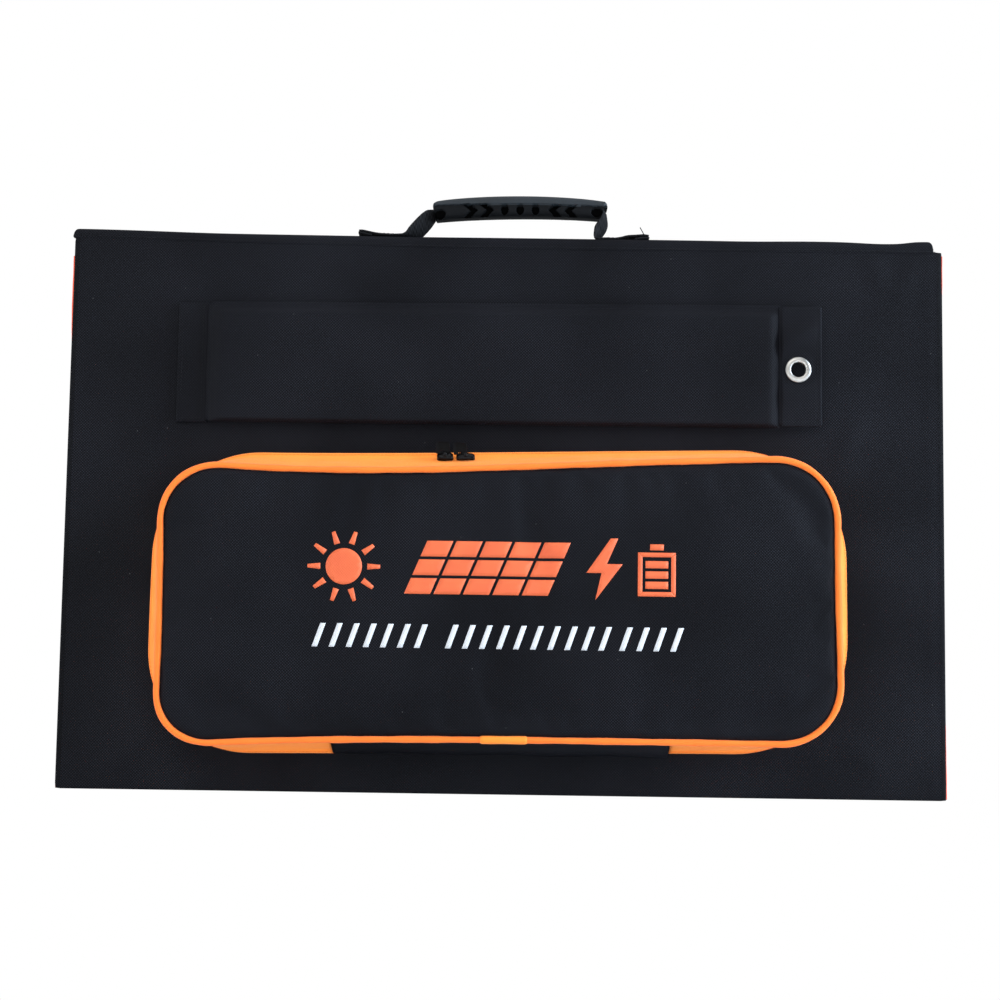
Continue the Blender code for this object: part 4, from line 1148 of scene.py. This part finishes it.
def slider(side, shift, longer):
    """A zip slider that lies on the sloping tape: two rounded plates, the post between them, and a bridge."""
    name = "slider_" + side
    low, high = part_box(name)
    nose = 1 if side == "left" else -1
    cx = (low.x + high.x) / 2 + shift
    half_x, half_u = (high.x - low.x) / 2 + longer, 3.3 * MM
    layers = [(0.94, 0.8), (1.0, 1.0), (1.0, 1.4), (0.93, 1.9), (0.74, 2.35), (0.42, 2.65), (0.15, 2.75)]

    def lay(x, across, proud):
        """A point of the slider: along the zip, across the tape, and out from it."""
        return (cx + x, -18.2 * MM - 0.58 * across - 0.81 * proud, 225.5 * MM - 0.81 * across + 0.58 * proud)

    def rounded(value):
        return math.copysign(abs(value) ** 0.62, value)

    outline = []
    for angle in np.radians(np.arange(0, 360, 10)):
        sx, sy = math.cos(angle), math.sin(angle)
        outline.append((rounded(sx) * half_x, rounded(sy) * half_u * (0.9 + 0.10 * sx * nose)))
    points, faces = [], []
    for sign in (1, -1):
        faces += tube_faces(len(layers), len(outline), len(points))
        points += [lay(x * size, y * size, sign * height * MM) for size, height in layers for x, y in outline]
    add_bar(points, faces, (-1.6 * MM, 1.6 * MM), (-0.3 * MM, 0.3 * MM), (-1.1 * MM, 1.1 * MM))
    points[-8:] = [lay(*corner) for corner in points[-8:]]
    body = outward_normals(mesh_from("zip_" + name, points, faces, ENAMEL))
    body.data.set_sharp_from_angle(angle=math.radians(60))
    place_on(body, name, "black_enamel", name)
    arch = [[lay(x, 2.3 * MM * math.cos(a) - 0.6 * MM, 2.3 * MM + 1.9 * MM * math.sin(a))
             for a in np.linspace(0, math.pi, 15)] for x in np.linspace(-1.0 * MM, 1.0 * MM, 7)]
    place_on(sheet("zip_bridge_" + side, np.array(arch), ENAMEL, 0.6 * MM), name, "black_enamel")


def rounded_box(half, low, high, radius, steps=6):
    """A ring of points round a box with round corners, centred in x."""
    corners = [(half - radius, low + radius, -90), (half - radius, high - radius, 0),
               (-half + radius, high - radius, 90), (-half + radius, low + radius, 180)]
    points = []
    for x, z, first in corners:
        for angle in np.radians(np.linspace(first, first + 90, steps + 1)):
            points.append((x + radius * math.cos(angle), z + radius * math.sin(angle)))
    return points


def pull_tab(side, cx, base_z, lean):
    """A square rubber-coated tab with round corners and a raised rim, hung on the slider's bridge."""
    name = "pull_" + side
    low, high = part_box(name)
    tall = high.z - low.z
    middle = tall / 2
    outer = rounded_box((high.x - low.x) / 2 * 1.15, 0.0, tall, 1.5 * MM)
    eye = rounded_box(1.35 * MM, 0.75 * MM, 2.6 * MM, 0.5 * MM)
    cx += (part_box("slider_" + side)[0].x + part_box("slider_" + side)[1].x) / 2
    layers = [(eye, -0.45, 1), (eye, 0.45, 1), (outer, 0.45, 0.88), (outer, 0.65, 0.95), (outer, 0.4, 1.0),
              (outer, -0.4, 1.0), (outer, -0.65, 0.95), (outer, -0.45, 0.88)]
    points = []
    for ring, depth, size in layers:
        for x, z in ring:
            z = middle + (z - middle) * size
            points.append((cx + x * size + lean * z, -19.9 * MM + depth * MM - 0.10 * z, base_z + z))
    tab = mesh_from("pull_tab_" + side, points, tube_faces(len(layers), len(outer), closed=True), PULL)
    outward_normals(tab).data.set_sharp_from_angle(angle=math.radians(50))
    place_on(tab, name, "black_enamel", name)


# ---------------------------------------------------------------- printed pictogram

def on_lid(lid):
    """A function that drops (x, z) points onto the lid's face."""
    mesh = lid.data
    corners = [tuple(polygon.vertices) for polygon in mesh.polygons]
    tree = bvhtree.BVHTree.FromPolygons([vertex.co for vertex in mesh.vertices], corners)

    def drop(x, z):
        hit = tree.ray_cast(Vector((x, -0.1, z)), Vector((0, 1, 0)))[0]
        return hit.y if hit else PIPING_Y - 3 * MM
    return drop


def decal(name, outlines, drop, material):
    """Flat printed shapes, from outlines in mm, cut fine enough to follow the lid and laid just above it."""
    points, faces = [], []
    for outline in outlines:
        closed = np.array([*outline, outline[0]]) * MM
        pieces = []
        for start, end in zip(closed[:-1], closed[1:]):
            count = max(1, int(math.dist(start, end) / (2.5 * MM)))
            pieces.append(start + (end - start) * np.linspace(0, 1, count, endpoint=False)[:, None])
        flat, triangles = filled_outline(np.concatenate(pieces), [], 3 * MM)
        faces += [tuple(len(points) + i for i in triangle) for triangle in triangles]
        points += [(x, drop(x, z) - 0.14 * MM, z) for x, z in flat]
    obj = mesh_from(name, points, faces, material)
    face_towards(obj, OUT_FRONT)
    place_on(thicken(obj, 0.08 * MM), "pouch_lid", "fabric")


def tile(x, z, width, height, lean=0.0):
    """Corners of a box that leans to the right."""
    return [(x, z), (x + width, z), (x + width + lean * height, z + height), (x + lean * height, z + height)]


def print_shapes(lid):
    """A generic energy pictogram: sun, solar cells and battery, over a row of pale dashes."""
    drop = on_lid(lid)
    sun_x, sun_z = -106, 150
    turn = np.radians(np.linspace(0, 360, 40, endpoint=False))
    orange = [[(sun_x + 12 * math.cos(a), sun_z + 12 * math.sin(a)) for a in turn]]
    for a in np.linspace(0, 2 * math.pi, 10, endpoint=False):
        c, s = math.cos(a), math.sin(a)
        orange.append([(sun_x + r * c - t * s, sun_z + r * s + t * c)
                       for r, t in ((15.5, -2.0), (24, -1.2), (24, 1.2), (15.5, 2.0))])
    lean = 0.42
    for column in range(5):
        for row in range(3):
            orange.append(tile(-66 + column * 19.4 + lean * row * 12.4, 132.5 + row * 12.4, 17.2, 10.4, lean))
    orange.append([(70, 171), (54, 148), (64, 148), (60, 130), (78, 154), (67.5, 154), (75, 171)])
    case, hollow = tile(88, 133, 25, 29), tile(91, 136, 19, 23)
    for i in range(4):
        j = (i + 1) % 4
        orange.append([case[i], case[j], hollow[j], hollow[i]])
    orange.append(tile(96, 163.5, 9, 4))
    orange += [tile(93, 138 + 6.8 * k, 15, 4.8) for k in range(3)]
    decal("print_pictogram", orange, drop, INK_ORANGE)
    pale = [tile(first + 11.2 * k, 97, 3.6, 15.5, 5.4 / 15.5)
            for first, count in ((-126, 7), (-38.5, 10), (76, 4)) for k in range(count)]
    decal("print_dashes", pale, drop, INK_PALE)


# ---------------------------------------------------------------- handle

SPINE_MIDDLE = (SPINE[0].y + SPINE[1].y) / 2
REST_Z = SPINE_TOP + 0.6 * MM


def grip_recess(x, z, low, high):
    """How far the grip's lower half is sunk at a point: chevrons, ovals and a round pocket near each end."""
    across = (x - low.x) / (high.x - low.x)
    from_middle = (x - (low.x + high.x) / 2) / MM
    height = z / MM - 398.0 - 1.9 * across - 1.9 * math.sin(math.pi * across)
    depth = 0.0
    for place, drop, width in ((-10.9, 0, 2.9), (-0.2, 0, 2.9), (10.5, 0, 2.9), (-55.6, -1.5, 4.4),
                               (53.0, -0.2, 4.4)):
        depth = max(depth, 1.0 - ((from_middle - place) / width) ** 2 - ((height - drop) / 3.4) ** 2)
    if abs(height) < 5.2:
        for place, lean in ((-34.6, 1), (-23.4, 1), (24.4, -1), (35.4, -1)):
            arm = from_middle - place - lean * (2.6 - 1.15 * abs(height))
            depth = max(depth, 1 - (arm / 2.8) ** 2)
    return min(1.0, depth * 2.4)


def grip():
    """The moulded grip: a smooth cap along its top that overhangs a darker lower half with sunk pockets, whose
    faces are painted near black as shade.
    """
    low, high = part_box("handle_grip")
    count, around = 300, 120
    length = high.x - low.x
    points, parts = [], []
    for share in np.linspace(0, 1, count):
        x = low.x + length * share
        arch = math.sin(math.pi * share) ** 0.6
        cap_line = (402.6 + 0.9 * share + 1.6 * arch) * MM
        full_top = (405.7 + 1.6 * share + 4.7 * arch) * MM
        full_bottom = (392.4 + 2.6 * share + 3.0 * arch) * MM
        ends = min(share, 1 - share) * length
        top = cap_line + (full_top - cap_line) * (0.30 + 0.70 * rounding(ends, 3.5 * MM))
        inset = 0.8 * MM if share < 0.5 else 2.4 * MM
        bottom = cap_line - 0.6 * MM - (cap_line - 0.6 * MM - full_bottom) * rounding(ends - inset, 2.6 * MM)
        wide = 0.70 + 0.30 * rounding(ends, 4 * MM)
        middle, half = (bottom + top) / 2, (top - bottom) / 2
        for j in range(around):
            angle = 2 * math.pi * j / around
            c, s = math.cos(angle), math.sin(angle)
            y = math.copysign(abs(c) ** 0.55, c) * 10.4 * MM * wide
            z = middle + math.copysign(abs(s) ** 0.70, s) * half
            under = float(ease((cap_line - z) / (0.5 * MM)))
            recess = grip_recess(x, z, low, high) if abs(c) > 0.35 else 0.0
            y -= math.copysign(min((1.3 + 2.6 * recess) * MM * under, abs(y)), y)
            points.append((x, SPINE_MIDDLE + y, z))
            # Faces deep in a pocket take the painted shade material; the rest are cap or lower half.
            parts.append(0 if under < 0.5 else 2 if recess > 0.45 else 1)
    obj = outward_normals(mesh_from("moulded_grip", points, tube_faces(count, around), GRIP_TOP))
    obj.data.materials.append(GRIP_SIDE)
    obj.data.materials.append(GRIP_POCKET_SHADE)
    for polygon in obj.data.polygons:
        polygon.material_index = parts[polygon.vertices[0]]
    obj.data.set_sharp_from_angle(angle=math.radians(55))
    place_on(obj, "handle", "grip_rubber", "handle_grip")


def ribbon(name, rows):
    """A woven strap with thick selvedges, through (x, y, z, half-width vector) rows in mm. Its y is from the
    spine's middle, and its z from where a strap's foot rests."""
    rows = np.array(rows) * MM
    centres, halves = rows[:, :3] + (0, SPINE_MIDDLE, REST_Z), rows[:, 3:]
    reach = distances(centres)
    wanted = np.linspace(0, reach[-1], max(8, int(reach[-1] / (0.9 * MM))))
    centres, halves = (np.stack([smooth_interp(wanted, reach, values) for values in track.T], 1)
                       for track in (centres, halves))
    out = np.cross(np.gradient(centres, axis=0), halves)
    out /= np.linalg.norm(out, axis=1)[:, None]
    shares = np.linspace(-1, 1, 9)
    ring = [(share, 1) for share in shares] + [(share, -1) for share in shares[::-1]]
    points = np.zeros((len(wanted), len(ring), 3))
    for j, (share, face) in enumerate(ring):
        edge = 1.12 if 0.6 < abs(share) < 0.95 else 0.62 if abs(share) > 0.99 else 1.0
        lift = (0.7 * edge + 0.12 * math.sin(9 * share)) * face * MM
        points[:, j] = centres + halves * share + out * lift
    faces = tube_faces(len(wanted), len(ring))
    return outward_normals(mesh_from(name, points.reshape(-1, 3), faces, WEBBING))


def smooth_interp(wanted, known, values):
    """Interpolates through points without sharp corners."""
    rough = np.interp(wanted, known, values)
    kernel = np.array([1, 4, 7, 4, 1]) / 17.0
    padded = np.concatenate([2 * rough[0] - rough[2:0:-1], rough, 2 * rough[-1] - rough[-2:-4:-1]])
    return np.convolve(padded, kernel, mode="valid")


LEFT_STRAP = [
    (-103.8, 0, 3.2, 0, 8.2, 0), (-101.4, 0, 3.3, 0, 8.6, 0), (-97, 0, 2.3, 0, 8.8, 0),
    (-92, 0, 1.3, 0, 8.8, 0), (-87, 0, 0.8, 0, 8.8, 0), (-79, 0, 0.6, 0, 8.8, 0),
    (-73, -0.3, 0.6, 0.4, 8.6, -0.3), (-69.0, -1.2, 1.0, 2.0, 7.6, -1.6), (-66.2, -2.0, 2.6, 3.2, 6.8, -2.8),
    (-63.2, -2.4, 5.6, 3.4, 6.4, -3.2), (-60.0, -2.2, 9.2, 3.4, 6.4, -3.2), (-57, -1.6, 12.8, 3.2, 6.4, -3.0),
    (-54.2, -0.8, 16.0, 2.6, 6.4, -2.4), (-50, 0, 18.2, 0.6, 6.4, -0.4), (-45, 0, 19.2, 0, 6.4, 0)]
RIGHT_STRAP = [
    (96.8, 0, 2.6, 0, 8.2, 0), (93.5, 0, 3.1, 0, 8.5, 0), (88, 0, 2.6, 0, 8.6, 0), (82, 0, 2.2, 0, 8.6, 0),
    (77.5, 0, 0.9, 0, 8.6, 0), (73, 0, 0.2, 0, 8.5, 0), (67.5, 0, 0.4, 0, 8.5, 0),
    (63.2, -0.4, 0.3, 1.4, 8.0, 0), (60.7, -1.1, 0.6, 1.9, 7.4, 0), (61.1, -1.8, 2.6, 2.4, 7.0, -0.3),
    (62.1, -2.1, 5.0, 3.1, 6.6, -0.7), (63.0, -2.1, 7.4, 3.7, 6.3, -1.0), (64.2, -1.9, 9.5, 3.7, 6.2, -1.0),
    (65.6, -1.5, 12.4, 3.1, 6.4, -0.8), (66.3, -1.0, 15.0, 2.4, 6.6, -0.5), (66.4, -0.4, 18.5, 1.6, 6.4, 0),
    (66.2, 0, 20.5, 1.4, 6.4, 0)]
LEFT_FOLD = [(-104.1, 0, 2.0, 0, 8.2, 0), (-100, 0, 1.3, 0, 8.6, 0), (-95, 0, 0.2, 0, 8.4, 0)]
RIGHT_FOLD = [(97.1, 0, 1.2, 0, 8.2, 0), (92, 0, 1.1, 0, 8.6, 0), (87, 0, 0.1, 0, 8.4, 0)]


def on_spine(x, y, z):
    """A point in mm along the spine, from its middle, and over where a strap's foot rests."""
    return (x * MM, SPINE_MIDDLE + y * MM, REST_Z + z * MM)


def handle_straps():
    """The webbing on each side: a sewn foot with its end folded under, and a twisted riser into the grip."""
    start, end = (0, SPINE_MIDDLE, 383.0 * MM), (0, SPINE_MIDDLE, 391.0 * MM)
    for side, rows, fold in (("left", LEFT_STRAP, LEFT_FOLD), ("right", RIGHT_STRAP, RIGHT_FOLD)):
        nodes = ["handle_strap"] if side == "left" else []
        join(ribbon("handle_webbing_" + side, rows), "webbing", "front_spine", "handle", start, end, *nodes)
        place_on(ribbon("handle_foot_fold_" + side, fold), "front_spine", "webbing", "handle_foot_" + side)
    seam = []
    for a, b, lift_a, lift_b in ((-88, -78, 1.7, 1.4), (67.5, 73.5, 1.15, 1.0)):
        for first, second in ((-6.5, -6.5), (6.5, 6.5), (-6.5, 6.5)):
            seam.append(([on_spine(a, first, lift_a), on_spine(b, second, lift_b)], (0, 0, 1)))
    place_on(stitches("handle_foot_stitches", seam, THREAD, radius=0.25 * MM), "front_spine", "webbing")
    thread = [on_spine(x, -6.5, z) for x, z in ((93.6, 3.0), (92.8, 4.8), (91.8, 6.6), (90.7, 8.5))]
    place_on(cord("loose_thread", thread, 0.32 * MM, THREAD, sides=6), "front_spine", "webbing")


# ---------------------------------------------------------------- stage

def area_light(name, place, target, size, power, colour):
    data = bpy.data.lights.new(name, "AREA")
    data.shape = "RECTANGLE"
    data.size, data.size_y = size
    data.energy = power
    data.color = colour
    light = bpy.data.objects.new(name, data)
    bpy.context.scene.collection.objects.link(light)
    light.location = place
    light.rotation_euler = (Vector(target) - Vector(place)).to_track_quat("-Z", "Y").to_euler()


def white_to_camera(tree, kind, lit, output):
    """Shows plain white to the camera, while lit goes on lighting the scene."""
    white = add_node(tree, kind, Color=(1, 1, 1, 1), Strength=1.0)
    seen = tree.nodes.new("ShaderNodeLightPath").outputs["Is Camera Ray"]
    mix = tree.nodes.new("ShaderNodeMixShader")
    for socket, value in zip(mix.inputs, (seen, lit.outputs[0], white.outputs[0])):
        feed(socket, value)
    feed(tree.nodes[output].inputs[0], mix.outputs[0])


def stage():
    """A white studio: the floor and backdrop are plain white to the camera, and light the scene more dimly."""
    scene = bpy.context.scene
    scene.view_settings.view_transform = "Standard"
    scene.world = bpy.data.worlds.new("studio")
    scene.world.use_nodes = True
    background = scene.world.node_tree.nodes["Background"]
    background.inputs["Color"].default_value = (0.93, 0.96, 1.0, 1)
    background.inputs["Strength"].default_value = 0.41
    white_to_camera(scene.world.node_tree, "ShaderNodeBackground", background, "World Output")

    look = Look("pale_floor")
    look.finish(Base_Color=(0.92, 0.92, 0.92, 1), Roughness=0.95)
    white_to_camera(look.tree, "ShaderNodeEmission", look.shader, "Material Output")
    shape = bmesh.new()
    bmesh.ops.create_grid(shape, x_segments=2, y_segments=2, size=6.0)
    mesh = bpy.data.meshes.new("floor")
    shape.to_mesh(mesh)
    shape.free()
    floor = link("floor", mesh, look.material, smooth=False)
    floor.location.z = -12 * MM  # clear of the pouch's lid when it hangs open

    area_light("front", (-0.45, -2.0, 1.75), (0, 0, 0.18), (2.4, 1.3), 24, (1.0, 0.99, 0.97))
    area_light("right_panel", (1.8, -0.45, 0.75), (0.15, 0, 0.2), (0.8, 1.5), 60, (0.72, 0.85, 1.0))
    area_light("left_panel", (-1.8, -0.35, 0.5), (-0.15, 0, 0.2), (0.7, 1.3), 15, (0.90, 0.95, 1.0))
    area_light("low_fill", (0, -1.7, 0.05), (0, 0, 0.12), (2.4, 0.2), 8, (1.0, 0.99, 0.97))
    area_light("top", (0, -0.2, 1.9), (0, 0, 0.2), (2.2, 1.2), 11, (1, 1, 1))


def camera():
    """A long lens a little below the middle, looking slightly up, rolled by under a degree."""
    data = bpy.data.cameras.new("camera")
    data.lens = 63.5
    data.sensor_width = 36
    obj = bpy.data.objects.new("camera", data)
    bpy.context.scene.collection.objects.link(obj)
    pitch, yaw, roll = math.radians(5.33), math.radians(0.18), math.radians(0.85)
    ahead = Vector((math.sin(yaw) * math.cos(pitch), math.cos(yaw) * math.cos(pitch), math.sin(pitch)))
    right = Vector((math.cos(yaw), -math.sin(yaw), 0))
    up = right.cross(ahead)
    rolled_right = right * math.cos(roll) + up * math.sin(roll)
    rolled_up = -right * math.sin(roll) + up * math.cos(roll)
    turn = Matrix((rolled_right, rolled_up, -ahead)).transposed().to_4x4()
    obj.matrix_world = Matrix.Translation((-7.3 * MM, -1.2, 86.9 * MM)) @ turn
    bpy.context.scene.camera = obj


# ---------------------------------------------------------------- assembly

for panel_name, (panel_body, panel_inward) in PANELS.items():
    cover(panel_name, panel_body, panel_inward)
    binding(panel_name, panel_body, "left", -1)
    binding(panel_name, panel_body, "right", 1)
    solar_face(panel_name, panel_body, panel_inward)
    paint(panel_name + "_board", BOARD)
cover_stitching()
spines()
lower_fold()
Leg("front_leg", "front", -1)
Leg("rear_leg", "rear", 1)
pouch_tapes()
zip_coils()
print_shapes(pouch_lid_panel())
piping()
hinge_gusset()
slider("left", -2.0 * MM, 0)
slider("right", 0, 0.8 * MM)
pull_tab("left", -3.9 * MM, 227.6 * MM, 0.05)
pull_tab("right", -3.6 * MM, 227.1 * MM, -0.04)
grip()
handle_straps()
for node_name in ("junction_box_base", "junction_box_lid", "cable_gland", "output_connector"):
    paint(node_name, PLASTIC)
paint("output_lead", LEAD)
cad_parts["output_lead"].data.shade_smooth()
stage()
camera()

bpy.context.view_layer.update()
